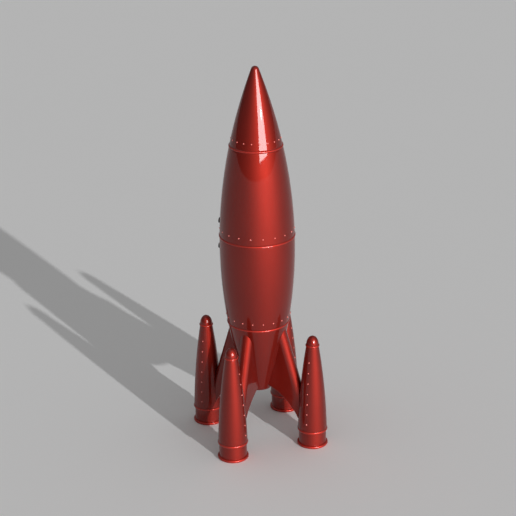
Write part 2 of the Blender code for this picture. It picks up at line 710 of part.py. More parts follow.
def build_pods(parts, cutters, paint):
    """Four pods, each on an empty at its own axis, turned so that +X points away from the hull."""
    shell = pod_shell_mesh(cutters)
    profiles = pod_profiles()
    meshes = {key: turned_mesh(f"pod_{key}", line, shut) for key, (line, shut) in profiles.items()}
    for index, side in enumerate(FIN_NAMES):
        azimuth = index * 2 * math.pi / FIN_COUNT
        axis = bpy.data.objects.new(f"{side}_pod_axis", None)
        axis.location = (
            POD_CIRCLE_RADIUS * math.cos(azimuth),
            POD_CIRCLE_RADIUS * math.sin(azimuth),
            0,
        )
        axis.rotation_euler = (0, 0, azimuth)
        parts.objects.link(axis)
        place(f"{side}_pod_shell", shell, parts, paint, parent=axis)
        for key, mesh in meshes.items():
            piece = place(f"{side}_pod_{key}", mesh, parts, paint, parent=axis)
            add_screw(piece, POD_STEPS)


def main():
    clear_scene()
    parts = new_collection("model_rocket")
    cutters = new_collection("cutters", hidden=True)
    paint = principled("red gloss paint", RED, 0.18, coat=0.6)
    build_nose(parts, cutters, paint)
    shells = build_body(parts, cutters, paint)
    build_bay(parts)
    motor_top = build_motor(parts)
    build_motor_mount(parts, motor_top)
    for which, sign, shell in (("upper", 1, "upper_body"), ("lower", -1, "lower_body")):
        height = WAIST_SEAM - GUIDE_DROP + sign * GUIDE_OFFSET
        build_guide(which, height, shells[shell], shells["waist_coupler"], parts, cutters)
    build_fins(parts, cutters, paint)
    build_pods(parts, cutters, paint)


main()
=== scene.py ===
"""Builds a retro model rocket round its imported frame: hull, pods, fins, motor and parachute bay."""

import math

import bmesh
import bpy
import numpy as np
from bpy.props import FloatProperty, FloatVectorProperty, IntProperty, PointerProperty
from mathutils import Matrix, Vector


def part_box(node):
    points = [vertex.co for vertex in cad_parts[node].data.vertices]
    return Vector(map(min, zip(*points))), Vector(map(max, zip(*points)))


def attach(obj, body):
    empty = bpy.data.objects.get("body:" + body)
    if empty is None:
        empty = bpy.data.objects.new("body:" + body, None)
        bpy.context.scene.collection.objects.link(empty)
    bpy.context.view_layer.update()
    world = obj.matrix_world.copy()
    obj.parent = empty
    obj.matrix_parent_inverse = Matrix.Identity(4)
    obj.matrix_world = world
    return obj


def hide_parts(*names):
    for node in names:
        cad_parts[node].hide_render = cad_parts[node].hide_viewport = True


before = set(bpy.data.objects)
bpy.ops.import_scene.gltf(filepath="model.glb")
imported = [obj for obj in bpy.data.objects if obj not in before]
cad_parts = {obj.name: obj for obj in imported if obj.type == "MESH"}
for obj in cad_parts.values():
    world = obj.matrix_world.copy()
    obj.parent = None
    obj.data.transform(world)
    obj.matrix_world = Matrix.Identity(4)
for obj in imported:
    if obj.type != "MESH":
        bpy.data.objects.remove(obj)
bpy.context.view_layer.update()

bl_info = {
    "name": "Model Rocket",
    "version": (1, 0, 0),
    "blender": (4, 5, 0),
    "location": "View3D > Sidebar > Rocket",
    "description": "Builds a finned model rocket with pods, motor and parachute bay",
    "category": "Add Mesh",
}

SIDES = ("right", "back", "left", "front")
TAU = 2 * math.pi
GLUE_GAP = 0.0003  # air between neighbouring pieces, as in the frame


# ---- Sizes read from the frame ----------------------------------------------------------------------


def low(node):
    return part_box(node)[0]


def high(node):
    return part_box(node)[1]


def middle_height(node):
    return (low(node).z + high(node).z) / 2


def half_width(node):
    return (high(node).x - low(node).x) / 2


class HullLine:
    """The hull's parabola r = R (1 - ((z - belly) / reach)^2), fitted to three widths of the shells."""

    def __init__(self):
        self.radius = half_width("lower_body")
        upper, lower = low("nose_cone").z, high("tail_cone").z
        rise = math.sqrt(1 - half_width("nose_cone") / self.radius)
        drop = math.sqrt(1 - half_width("tail_cone") / self.radius)
        self.reach = (upper - lower) / (rise + drop)
        self.belly = upper - rise * self.reach
        self.tip = high("nose_cone").z
        self.tail = low("tail_cone").z

    def at(self, z):
        return self.radius * (1 - ((z - self.belly) / self.reach) ** 2)

    def slope(self, z):
        return -2 * self.radius * (z - self.belly) / self.reach**2


class PodLine:
    """A pod's parabola r = R (1 - (z / reach)^2), fitted to the foot and the cap of its shell."""

    def __init__(self):
        self.axis = (low("right_pod_foot").x + high("right_pod_foot").x) / 2
        wide, narrow = half_width("right_pod_shell"), half_width("right_pod_cap")
        z_wide, z_narrow = low("right_pod_shell").z, middle_height("right_pod_cap_ring")
        self.reach = math.sqrt((wide * z_narrow**2 - narrow * z_wide**2) / (wide - narrow))
        self.radius = wide / (1 - (z_wide / self.reach) ** 2)

    def at(self, z):
        return self.radius * (1 - (z / self.reach) ** 2)

    def slope(self, z):
        return -2 * self.radius * z / self.reach**2


HULL = HullLine()
POD = PodLine()
NOSE_SEAM = middle_height("nose_ring")
WAIST_SEAM = middle_height("waist_ring")
TAIL_SEAM = middle_height("tail_ring")
BEAD_HALF = (high("nose_ring").z - low("nose_ring").z) / 2


# ---- Settings ------------------------------------------------------------------------------------------


class RocketHullSettings(bpy.types.PropertyGroup):
    """Sizes of the hull's skin and its rivets."""

    wall: FloatProperty(
        name="Wall", description="Thickness of the moulded shells", default=0.0015, unit="LENGTH"
    )
    tip_radius: FloatProperty(
        name="Tip Radius", description="Ball at the nose's tip", default=0.0046, unit="LENGTH"
    )
    seam_line: FloatProperty(
        name="Seam Line", description="Dark line beside a bead", default=0.00004, unit="LENGTH"
    )
    rim: FloatProperty(
        name="Rim Rounding", description="Rounding of shell edges", default=0.00025, unit="LENGTH"
    )
    bead_proud: FloatProperty(
        name="Bead Height", description="How far a bead stands out", default=0.0008, unit="LENGTH"
    )
    rivet_radius: FloatProperty(
        name="Rivet Radius", description="Radius of a rivet's head", default=0.00085, unit="LENGTH"
    )
    rivet_proud: FloatProperty(
        name="Rivet Height", description="How far a head stands out", default=0.0006, unit="LENGTH"
    )
    rivet_rise: FloatProperty(
        name="Row Rise", description="A row's height above its seam", default=0.009, unit="LENGTH"
    )
    rivet_start: FloatProperty(
        name="First Rivet", description="A row's first rivet", default=math.radians(2.34), subtype="ANGLE"
    )
    rivets: IntProperty(name="Rivets", description="Rivets in a row", default=19)
    columns: IntProperty(name="Columns", description="Faces round the hull", default=192)


class RocketPodSettings(bpy.types.PropertyGroup):
    """Sizes of the four pods."""

    wall: FloatProperty(
        name="Wall", description="Thickness of a pod's shell", default=0.0015, unit="LENGTH"
    )
    cap_bead: FloatProperty(
        name="Cap Bead", description="How far the cap's bead stands out", default=0.001, unit="LENGTH"
    )
    belt_bead: FloatProperty(
        name="Belt Bead", description="How far the belt stands out", default=0.0006, unit="LENGTH"
    )
    foot_round: FloatProperty(
        name="Foot Round", description="Rounding of the foot's rim", default=0.0016, unit="LENGTH"
    )
    rivets: IntProperty(name="Rivets", description="Rivets in each line", default=7)
    rivet_first: FloatProperty(
        name="First Rivet", description="Height of the lowest rivet", default=0.031, unit="LENGTH"
    )
    rivet_pitch: FloatProperty(
        name="Rivet Pitch", description="Height between two rivets", default=0.0129, unit="LENGTH"
    )
    columns: IntProperty(name="Columns", description="Faces round a pod", default=96)


class RocketFinSettings(bpy.types.PropertyGroup):
    """Sizes of the four fins."""

    crest_drop: FloatProperty(
        name="Crest Drop", description="Leading edge below the tail seam", default=0.0062, unit="LENGTH"
    )
    pod_height: FloatProperty(
        name="Pod Height", description="Leading edge's height at the pod", default=0.072, unit="LENGTH"
    )
    arch_root_rise: FloatProperty(
        name="Arch Rise", description="Arch above the tail's end", default=0.0053, unit="LENGTH"
    )
    arch_foot: FloatProperty(
        name="Arch Foot", description="The arch's height at the pod", default=0.034, unit="LENGTH"
    )
    edge: FloatProperty(
        name="Edge Rounding", description="Rounding along the arch", default=0.0011, unit="LENGTH"
    )
    sink: FloatProperty(
        name="Root Sink", description="Depth of the root in the hull", default=0.0004, unit="LENGTH"
    )


class RocketInsideSettings(bpy.types.PropertyGroup):
    """Sizes of the parts inside the hull."""

    tube_wall: FloatProperty(
        name="Tube Wall", description="Motor tube's wall", default=0.0007, unit="LENGTH"
    )
    case_wall: FloatProperty(
        name="Case Wall", description="Motor case's wall", default=0.003, unit="LENGTH"
    )
    throat: FloatProperty(
        name="Throat", description="Radius of the nozzle's throat", default=0.002, unit="LENGTH"
    )
    mouth: FloatProperty(
        name="Mouth", description="Radius of the nozzle's mouth", default=0.0055, unit="LENGTH"
    )
    fit: FloatProperty(
        name="Fit", description="Gap between the inner pieces", default=GLUE_GAP, unit="LENGTH"
    )
    wire: FloatProperty(
        name="Eye Wire", description="Radius of the eye's wire", default=0.0009, unit="LENGTH"
    )
    vent: FloatProperty(
        name="Vent", description="Radius of the bay floor's hole", default=0.012, unit="LENGTH"
    )


class RocketFinishSettings(bpy.types.PropertyGroup):
    """Colours of the finishes."""

    red: FloatVectorProperty(
        name="Red", description="Gloss paint", default=(0.215, 0.0150, 0.0095), subtype="COLOR"
    )
    # Rivet colour: the hull's red lightened towards pink. This is a painted highlight standing for the
    # glints on the rivets' domes, not a different paint.
    rivet: FloatVectorProperty(
        name="Rivet", description="Brighter paint on the rivets", default=(0.72, 0.20, 0.17), subtype="COLOR"
    )
    # How much brighter the beads' red is than the hull's. This is a painted highlight standing for the
    # glints along the beads and pod feet, not a different paint.
    bead_highlight_lift: FloatProperty(name="Bead Highlight", description="Beads' red against the hull's", default=1.9)
    white: FloatVectorProperty(
        name="White", description="Bare moulding", default=(0.78, 0.77, 0.73), subtype="COLOR"
    )
    kraft: FloatVectorProperty(
        name="Kraft", description="Wound card", default=(0.40, 0.25, 0.13), subtype="COLOR"
    )
    ply: FloatVectorProperty(
        name="Plywood", description="Birch plywood", default=(0.62, 0.44, 0.26), subtype="COLOR"
    )
    cloth: FloatVectorProperty(
        name="Cloth", description="Parachute nylon", default=(0.85, 0.30, 0.05), subtype="COLOR"
    )
    floor: FloatVectorProperty(
        name="Floor", description="Studio floor", default=(0.88, 0.88, 0.88), subtype="COLOR"
    )


class RocketStageSettings(bpy.types.PropertyGroup):
    """The camera, the floor and the lights."""

    azimuth: FloatProperty(
        name="Azimuth", description="Camera's place round Z", default=math.radians(26.76), subtype="ANGLE"
    )
    distance: FloatProperty(
        name="Distance", description="Camera from the axis", default=1.6497, unit="LENGTH"
    )
    height: FloatProperty(
        name="Height", description="Camera above the floor", default=0.8907, unit="LENGTH"
    )
    pitch: FloatProperty(
        name="Pitch", description="Camera's tilt down", default=0.38409, subtype="ANGLE"
    )
    yaw: FloatProperty(name="Yaw", description="Camera's turn right", default=0.00037, subtype="ANGLE")
    roll: FloatProperty(name="Roll", description="Camera's roll", default=-0.01351, subtype="ANGLE")
    lens: FloatProperty(name="Lens", description="Focal length in mm", default=107.79)
    sun_azimuth: FloatProperty(
        name="Light Azimuth", description="Light round Z", default=math.radians(330.6), subtype="ANGLE"
    )
    sun_elevation: FloatProperty(
        name="Light Rise", description="Light above the floor", default=math.radians(14.5), subtype="ANGLE"
    )
    sun_strength: FloatProperty(name="Light", description="Strength of the key light", default=2.45)
    sun_width: FloatProperty(
        name="Light Width", description="Angle across the light", default=math.radians(0.8), subtype="ANGLE"
    )
    softbox: FloatProperty(name="Softbox", description="Radiance of the softbox", default=17.0)
    box_away: FloatProperty(name="Box Distance", description="From the axis", default=15.0, unit="LENGTH")
    box_level: FloatProperty(
        name="Box Level", description="Height that its edges rise from", default=0.36, unit="LENGTH"
    )
    box_low: FloatProperty(
        name="Box Low Edge", description="Lower edge's rise", default=math.radians(4.0), subtype="ANGLE"
    )
    box_high: FloatProperty(
        name="Box High Edge", description="Upper edge's rise", default=math.radians(30.0), subtype="ANGLE"
    )
    box_spread: FloatProperty(
        name="Box Spread", description="Angle across it", default=math.radians(33.5), subtype="ANGLE"
    )
    box_turn: FloatProperty(
        name="Box Turn", description="From the light round Z", default=math.radians(-3.7), subtype="ANGLE"
    )
    sky_low: FloatProperty(name="Sky Low", description="Sky's share at the horizon", default=0.05)
    sky_high: FloatProperty(name="Sky High", description="Sky's share overhead", default=2.0)
    backdrop: FloatProperty(name="Backdrop", description="Grey seen beyond the floor", default=0.45)
    sky_strength: FloatProperty(name="Sky", description="Strength of the soft light", default=0.228)


SETTINGS = {
    "rocket_hull": RocketHullSettings,
    "rocket_pods": RocketPodSettings,
    "rocket_fins": RocketFinSettings,
    "rocket_inside": RocketInsideSettings,
    "rocket_finish": RocketFinishSettings,
    "rocket_stage": RocketStageSettings,
}


# ---- Surfaces ------------------------------------------------------------------------------------------


def quad_rows(rows, columns, wrap_rows, wrap_columns):
    """Faces of a grid: each joins a point, the next in its row, and the same two in the next row."""
    i = np.arange(rows if wrap_rows else rows - 1)
    j = np.arange(columns if wrap_columns else columns - 1)
    a, b = np.meshgrid(i, j, indexing="ij")
    c, d = (a + 1) % rows, (b + 1) % columns
    faces = np.stack([a * columns + b, a * columns + d, c * columns + d, c * columns + b], -1)
    return faces.reshape(-1, 4)


def closed_object(name, points, faces, materials, crease, slivers=False):
    """A smooth mesh: doubles merged, slivers dissolved if asked, faces outwards, creases kept sharp."""
    mesh = bpy.data.meshes.new(name)
    mesh.from_pydata(points.reshape(-1, 3).tolist(), [], faces)
    bm = bmesh.new()
    bm.from_mesh(mesh)
    bmesh.ops.remove_doubles(bm, verts=bm.verts, dist=1e-6)
    if slivers:
        bmesh.ops.dissolve_degenerate(bm, edges=bm.edges, dist=1e-7)
    bmesh.ops.recalc_face_normals(bm, faces=bm.faces)
    bm.to_mesh(mesh)
    bm.free()
    mesh.shade_smooth()
    mesh.set_sharp_from_angle(angle=math.radians(crease))
    for material in materials:
        mesh.materials.append(material)
    obj = bpy.data.objects.new(name, mesh)
    bpy.context.scene.collection.objects.link(obj)
    return obj


def skin(name, points, faces, materials, crease=35):
    """A closed piece from one grid, whose poles can leave slivers."""
    return closed_object(name, points, faces.tolist(), materials, crease, slivers=True)


def turned_points(profile, columns, centre=(0.0, 0.0)):
    """Each (r, z) of the profile carried round the axis: x = r cos t, y = r sin t."""
    t = np.arange(columns) * TAU / columns
    r, z = profile[:, 0:1], profile[:, 1:2]
    x = centre[0] + r * np.cos(t)
    y = centre[1] + r * np.sin(t)
    return np.stack([x, y, np.broadcast_to(z, x.shape)], -1)


def turned(name, profile, columns, materials, closed=True, centre=(0.0, 0.0), crease=35):
    """A turned piece from a closed profile, or from one that starts and ends on the axis."""
    profile = np.asarray(profile, float)
    points = turned_points(profile, columns, centre)
    faces = quad_rows(len(profile), columns, closed, True)
    return skin(name, points, faces, materials, crease)


def rounded(corners, setbacks, steps=4):
    """Corners of a profile, each with a setback replaced by a short parabola from side to side.

    A corner P with setback s gives (1-t)^2 A + 2t(1-t) P + t^2 B, where A and B lie s along its
    two sides. A setback of 0 keeps the corner.
    """
    corners = np.asarray(corners, float)
    before, after = np.roll(corners, 1, 0), np.roll(corners, -1, 0)
    t = np.linspace(0, 1, steps + 1)[:, None]
    line = []
    for p, a, b, s in zip(corners, before, after, setbacks):
        if s <= 0:
            line.append(p[None])
            continue
        to_a, to_b = a - p, b - p
        first = p + to_a * min(s / np.hypot(*to_a), 0.45)
        last = p + to_b * min(s / np.hypot(*to_b), 0.45)
        line.append((1 - t) ** 2 * first + 2 * t * (1 - t) * p + t**2 * last)
    return np.concatenate(line)


def wall_profile(line, top, bottom, wall, rim, rows=60):
    """A shell between two heights: down the outer line, up the inner one, with rounded rims."""
    z = np.linspace(top, bottom, rows)
    outer = np.stack([line.at(z), z], -1)
    inner = np.stack([line.at(z[::-1]) - wall, z[::-1]], -1)
    setbacks = np.zeros(2 * rows)
    setbacks[[0, rows - 1, rows, -1]] = rim
    return rounded(np.concatenate([outer, inner]), setbacks)


def bead_profile(radius, height, inner, half, proud, rows=17):
    """A seam bead: r = radius + proud cos a, z = height + half sin a outside, square inside."""
    a = np.linspace(math.pi / 2, -math.pi / 2, rows)
    crown = np.stack([radius + proud * np.cos(a), height + half * np.sin(a)], -1)
    back = [(inner, height - half), (inner, height + half)]
    return np.concatenate([crown, back])


def surface_frames(line, z, azimuth, centre=(0.0, 0.0)):
    """Points on a turned surface and, at each, the axes across it, up it and out of it."""
    z, azimuth = np.broadcast_arrays(np.asarray(z, float), np.asarray(azimuth, float))
    cos, sin, zero = np.cos(azimuth), np.sin(azimuth), np.zeros_like(azimuth)
    r, slope = line.at(z), line.slope(z)
    tilt = np.hypot(1, slope)
    points = np.stack([centre[0] + r * cos, centre[1] + r * sin, z], -1)
    across = np.stack([-sin, cos, zero], -1)
    out = np.stack([cos / tilt, sin / tilt, -slope / tilt], -1)
    up = np.cross(out, across)
    return points, np.stack([across, up, out], -2)


def dome_grid(radius, proud, sink, rows=5, columns=12):
    """A rivet's head: (radius cos a, proud sin a) from rim to crown, with its root below."""
    a = np.linspace(0, math.pi / 2, rows)
    r = np.concatenate([[radius], radius * np.cos(a)])
    h = np.concatenate([[-sink], proud * np.sin(a)])
    t = np.arange(columns) * TAU / columns
    return np.stack([r[:, None] * np.cos(t), r[:, None] * np.sin(t), h[:, None] + 0 * t], -1)


def scattered(name, grid, points, frames, materials):
    """The same small grid at every point, turned to that point's axes."""
    rows, columns = grid.shape[:2]
    local = grid.reshape(-1, 3)
    placed = points[:, None, :] + np.einsum("vk,nkj->nvj", local, frames)
    faces = quad_rows(rows, columns, False, True)
    root = np.arange(columns)[None, ::-1]
    shift = (np.arange(len(points)) * len(local))[:, None, None]
    every = (faces[None] + shift).reshape(-1, 4).tolist()
    every += (root[None] + shift).reshape(-1, columns).tolist()
    return closed_object(name, placed, every, materials, crease=50)


def line_inside(obj):
    """Gives the second material to the faces that look in towards the axis: n . (x, y) / r < 0."""
    mesh = obj.data
    normals, centres = (np.empty(len(mesh.polygons) * 3, np.float32) for _ in range(2))
    mesh.polygons.foreach_get("normal", normals)
    mesh.polygons.foreach_get("center", centres)
    outward = normals.reshape(-1, 3)[:, :2] * centres.reshape(-1, 3)[:, :2]
    mesh.polygons.foreach_set("material_index", (outward.sum(1) < 0).astype(np.int32))


def fitted(obj, body, slot, *nodes):
    """Rides the body and stands for the nodes; the slot is not used."""
    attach(obj, body)
    if nodes:
        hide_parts(*nodes)
    return obj


# ---- Materials -----------------------------------------------------------------------------------------


class Finish:
    """A Principled material with short calls for the nodes that feed it."""

    def __init__(self, name, colour, roughness, **sockets):
        self.material = bpy.data.materials.new(name)
        self.material.use_nodes = True
        self.tree = self.material.node_tree
        self.shader = self.tree.nodes["Principled BSDF"]
        self.shader.inputs["Base Color"].default_value = (*colour, 1)
        self.shader.inputs["Roughness"].default_value = roughness
        for socket, value in sockets.items():
            self.shader.inputs[socket.replace("_", " ")].default_value = value
        self.place = self.tree.nodes.new("ShaderNodeTexCoord").outputs["Object"]

    def node(self, kind, **inputs):
        made = self.tree.nodes.new(f"ShaderNode{kind}")
        for socket, value in inputs.items():
            target = made.inputs[socket.replace("_", " ")]
            if isinstance(value, bpy.types.NodeSocket):
                self.tree.links.new(value, target)
            else:
                target.default_value = value
        return made

    def noise(self, scale, detail=3.0, roughness=0.5, stretch=(1, 1, 1), distortion=0.0):
        place = self.place
        if tuple(stretch) != (1, 1, 1):
            place = self.node("Mapping", Vector=self.place, Scale=stretch).outputs["Vector"]
        made = self.node(
            "TexNoise", Vector=place, Scale=scale, Detail=detail, Roughness=roughness
        )
        made.inputs["Distortion"].default_value = distortion
        return made.outputs["Fac"]

    def ranged(self, value, low_in, high_in, low_out, high_out):
        made = self.node("MapRange", Value=value)
        ends = {"From Min": low_in, "From Max": high_in, "To Min": low_out, "To Max": high_out}
        for socket, number in ends.items():
            made.inputs[socket].default_value = number
        return made.outputs["Result"]

    def mixed(self, factor, first, second):
        made = self.tree.nodes.new("ShaderNodeMix")
        made.data_type = "RGBA"
        for index, value in ((0, factor), (6, first), (7, second)):
            if isinstance(value, bpy.types.NodeSocket):
                self.tree.links.new(value, made.inputs[index])
            elif index == 0:
                made.inputs[index].default_value = value
            else:
                made.inputs[index].default_value = (*value, 1)
        return made.outputs[2]

    def maths(self, operation, first, second=0.0):
        made = self.tree.nodes.new("ShaderNodeMath")
        made.operation = operation
        for index, value in enumerate((first, second)):
            if isinstance(value, bpy.types.NodeSocket):
                self.tree.links.new(value, made.inputs[index])
            else:
                made.inputs[index].default_value = value
        return made.outputs[0]

    def edges(self, start, end):
        """How far a surface is a raised edge, from 0 to 1."""
        geometry = self.tree.nodes.new("ShaderNodeNewGeometry")
        return self.ranged(geometry.outputs["Pointiness"], start, end, 0, 1)

    def feed(self, socket, value):
        self.tree.links.new(value, self.shader.inputs[socket])

    def bump(self, height, strength, distance):
        made = self.node("Bump", Height=height, Strength=strength, Distance=distance)
        if self.shader.inputs["Normal"].is_linked:
            under = self.shader.inputs["Normal"].links[0].from_socket
            self.tree.links.new(under, made.inputs["Normal"])
        self.feed("Normal", made.outputs["Normal"])


def tone(colour, factor):
    return tuple(min(1.0, channel * factor) for channel in colour)


def red_gloss(name, colour):
    """Metallic red under clear gloss: cloudy colour, faint orange peel, rubbed edges, soft smears."""
    paint = Finish(
        name, colour, 0.55, Metallic=1.0, Coat_Weight=0.72, Coat_Roughness=0.04, Coat_IOR=1.5
    )
    cloud = paint.ranged(paint.noise(14, 4, 0.55), 0.3, 0.7, 0, 1)
    body = paint.mixed(cloud, tone(colour, 0.95), tone(colour, 1.05))
    worn = paint.maths("MULTIPLY", paint.edges(0.53, 0.62), paint.noise(260, 2))
    paint.feed("Base Color", paint.mixed(worn, body, tone(colour, 1.45)))
    smear = paint.noise(55, 5, 0.6, (1, 1, 0.35), 0.4)
    paint.feed("Roughness", paint.ranged(smear, 0.25, 0.75, 0.58, 0.66))
    paint.bump(paint.noise(420, 2, 0.5), 0.025, 0.0006)
    paint.bump(paint.noise(2600, 2, 0.5), 0.02, 0.0002)
    return paint.material


def bare_moulding(name, colour):
    """Unpainted styrene: flow marks from the mould, a satin skin and fine scuffs."""
    shell = Finish(name, colour, 0.45)
    flow = shell.noise(22, 4, 0.6, (1, 1, 0.2), 0.8)
    shell.feed("Base Color", shell.mixed(flow, tone(colour, 0.9), tone(colour, 1.04)))
    scuff = shell.noise(600, 4, 0.7, (1, 1, 0.15))
    shell.feed("Roughness", shell.ranged(scuff, 0.3, 0.7, 0.36, 0.56))
    shell.bump(scuff, 0.06, 0.0003)
    return shell.material


def plywood(name, colour):
    """Birch ply: grain along X on the faces, and its darker plies as bands in height at the edge."""
    ply = Finish(name, colour, 0.7)
    grain = ply.noise(160, 5, 0.65, (0.12, 1, 1), 0.6)
    face = ply.mixed(grain, tone(colour, 0.72), tone(colour, 1.1))
    height = ply.node("SeparateXYZ", Vector=ply.place).outputs["Z"]
    layer = ply.maths("SINE", ply.maths("MULTIPLY", height, TAU / 0.0015))
    band = ply.ranged(layer, -0.2, 0.5, 0, 0.55)
    upright = ply.node("SeparateXYZ", Vector=ply.tree.nodes.new("ShaderNodeNewGeometry").outputs["Normal"])
    side = ply.maths("SUBTRACT", 1.0, ply.maths("ABSOLUTE", upright.outputs["Z"]))
    seen = ply.maths("MULTIPLY", band, ply.ranged(side, 0.5, 0.9, 0, 1))
    ply.feed("Base Color", ply.mixed(seen, face, tone(colour, 0.45)))
    ply.feed("Roughness", ply.ranged(grain, 0.2, 0.8, 0.6, 0.8))
    ply.bump(grain, 0.15, 0.0003)
    return ply.material


def wound_paper(name, colour, lead=0.014):
    """Spiral-wound card: a fine butt line each turn of the winding, with paper fibres over it."""
    card = Finish(name, colour, 0.78)
    fibre = card.noise(900, 4, 0.7, (1, 1, 0.3), 0.3)
    cloud = card.noise(30, 3, 0.5)
    split = card.node("SeparateXYZ", Vector=card.place)
    turn = card.maths("ARCTAN2", split.outputs["Y"], split.outputs["X"])
    climb = card.maths("DIVIDE", split.outputs["Z"], lead)
    phase = card.maths("FRACT", card.maths("ADD", climb, card.maths("DIVIDE", turn, TAU)))
    seam = card.ranged(card.maths("ABSOLUTE", card.maths("SUBTRACT", phase, 0.5)), 0.0, 0.035, 1, 0)
    body = card.mixed(fibre, tone(colour, 0.82), tone(colour, 1.14))
    body = card.mixed(cloud, body, tone(colour, 0.92))
    card.feed("Base Color", card.mixed(card.maths("MULTIPLY", seam, 0.6), body, tone(colour, 0.5)))
    card.feed("Roughness", card.ranged(fibre, 0.2, 0.8, 0.68, 0.88))
    card.bump(fibre, 0.12, 0.0002)
    card.bump(seam, -0.25, 0.0002)
    return card.material


def pressed_grit(name, colour, grain_scale, rough=0.9, depth=0.3):
    """Pressed clay or powder: grains of two sizes, matt, with a few pale specks."""
    grit = Finish(name, colour, rough)
    coarse = grit.noise(grain_scale, 4, 0.7)
    fine = grit.noise(grain_scale * 4, 3, 0.7)
    body = grit.mixed(coarse, tone(colour, 0.7), tone(colour, 1.25))
    speck = grit.ranged(fine, 0.66, 0.72, 0, 0.6)
    grit.feed("Base Color", grit.mixed(speck, body, tone(colour, 2.0)))
    grit.feed("Roughness", grit.ranged(coarse, 0.2, 0.8, rough - 0.12, min(1.0, rough + 0.05)))
    grit.bump(coarse, depth, 0.0004)
    grit.bump(fine, depth / 2, 0.0002)
    return grit.material


def black_acetal(name):
    """Moulded black plastic with a faint grain and edges rubbed greyer."""
    black = (0.016, 0.016, 0.018)
    spool = Finish(name, black, 0.42)
    grain = spool.noise(1400, 3, 0.6)
    worn = spool.maths("MULTIPLY", spool.edges(0.52, 0.6), 0.5)
    spool.feed("Base Color", spool.mixed(worn, black, (0.09, 0.09, 0.095)))
    spool.feed("Roughness", spool.ranged(grain, 0.3, 0.7, 0.34, 0.52))
    spool.bump(grain, 0.08, 0.0002)
    return spool.material


def zinc_plate(name):
    """Zinc-plated steel: brushed streaks and cloudy plating, lighter and darker at random."""
    grey = (0.56, 0.57, 0.58)
    metal = Finish(name, grey, 0.32, Metallic=1.0)
    streak = metal.noise(900, 3, 0.6, (1, 1, 0.08))
    cloud = metal.noise(160, 4, 0.6)
    metal.feed("Base Color", metal.mixed(cloud, tone(grey, 0.75), tone(grey, 1.15)))
    metal.feed("Roughness", metal.ranged(streak, 0.25, 0.75, 0.22, 0.46))
    metal.bump(streak, 0.05, 0.0002)
    return metal.material


def ripstop(name, colour):
    """Folded nylon: a fine plain weave with a thicker thread every few millimetres, and creases with painted
    shade in their hollows and painted highlight on their ridges.
    """
    cloth = Finish(name, colour, 0.55, Sheen_Weight=0.25, Sheen_Roughness=0.4)
    split = cloth.node("SeparateXYZ", Vector=cloth.place)
    turn = cloth.maths("ARCTAN2", split.outputs["Y"], split.outputs["X"])
    round_way = cloth.maths("MULTIPLY", turn, 0.024)
    threads = []
    for pitch in (0.0005, 0.004):
        for way in (round_way, split.outputs["Z"]):
            wave = cloth.maths("SINE", cloth.maths("MULTIPLY", way, TAU / pitch))
            threads.append(cloth.ranged(wave, 0.0 if pitch < 0.001 else 0.93, 1, 0, 1))
    weave = cloth.maths("MAXIMUM", threads[0], threads[1])
    grid = cloth.maths("MAXIMUM", threads[2], threads[3])
    crease = cloth.noise(110, 5, 0.65, (1, 1, 0.5), 1.2)
    # Darker where the crease bump sinks and lighter where it rises: painted shade in the fold hollows,
    # painted highlight on the ridges.
    body = cloth.mixed(crease, tone(colour, 0.7), tone(colour, 1.12))
    cloth.feed("Base Color", cloth.mixed(cloth.maths("MULTIPLY", grid, 0.3), body, tone(colour, 1.3)))
    cloth.feed("Roughness", cloth.ranged(crease, 0.2, 0.8, 0.45, 0.68))
    cloth.bump(crease, 0.5, 0.0012)
    cloth.bump(weave, 0.2, 0.0001)
    return cloth.material


def tissue(name):
    """Crumpled flameproof tissue: sharp creases at two sizes, the larger ones darkened with painted shade,
    and a dull paper tint.
    """
    paper = (0.80, 0.80, 0.72)
    sheet = Finish(name, paper, 0.92)
    crumple = sheet.node("TexVoronoi", Vector=sheet.place, Scale=170.0)
    crumple.feature = "DISTANCE_TO_EDGE"
    fold_and_painted_shade = sheet.ranged(crumple.outputs["Distance"], 0.0, 0.25, 0, 1)
    fine = sheet.noise(700, 4, 0.7)
    # Darker along the crease lines that the bump sinks in: painted shade in the creases.
    sheet.feed("Base Color", sheet.mixed(fold_and_painted_shade, tone(paper, 0.8), paper))
    sheet.feed("Roughness", sheet.ranged(fine, 0.2, 0.8, 0.85, 1.0))
    sheet.bump(fold_and_painted_shade, 0.6, 0.0012)
    sheet.bump(fine, 0.2, 0.0003)
    return sheet.material


def floor_finish(name, colour):
    """A matt grey studio floor with the faintest mottling."""
    floor = Finish(name, colour, 0.95, Specular_IOR_Level=0.0)
    mottle = floor.noise(3.0, 4, 0.6)
    floor.feed("Base Color", floor.mixed(mottle, tone(colour, 0.995), tone(colour, 1.005)))
    floor.bump(floor.noise(500, 2, 0.5), 0.01, 0.0002)
    return floor.material


FINISHES = {}


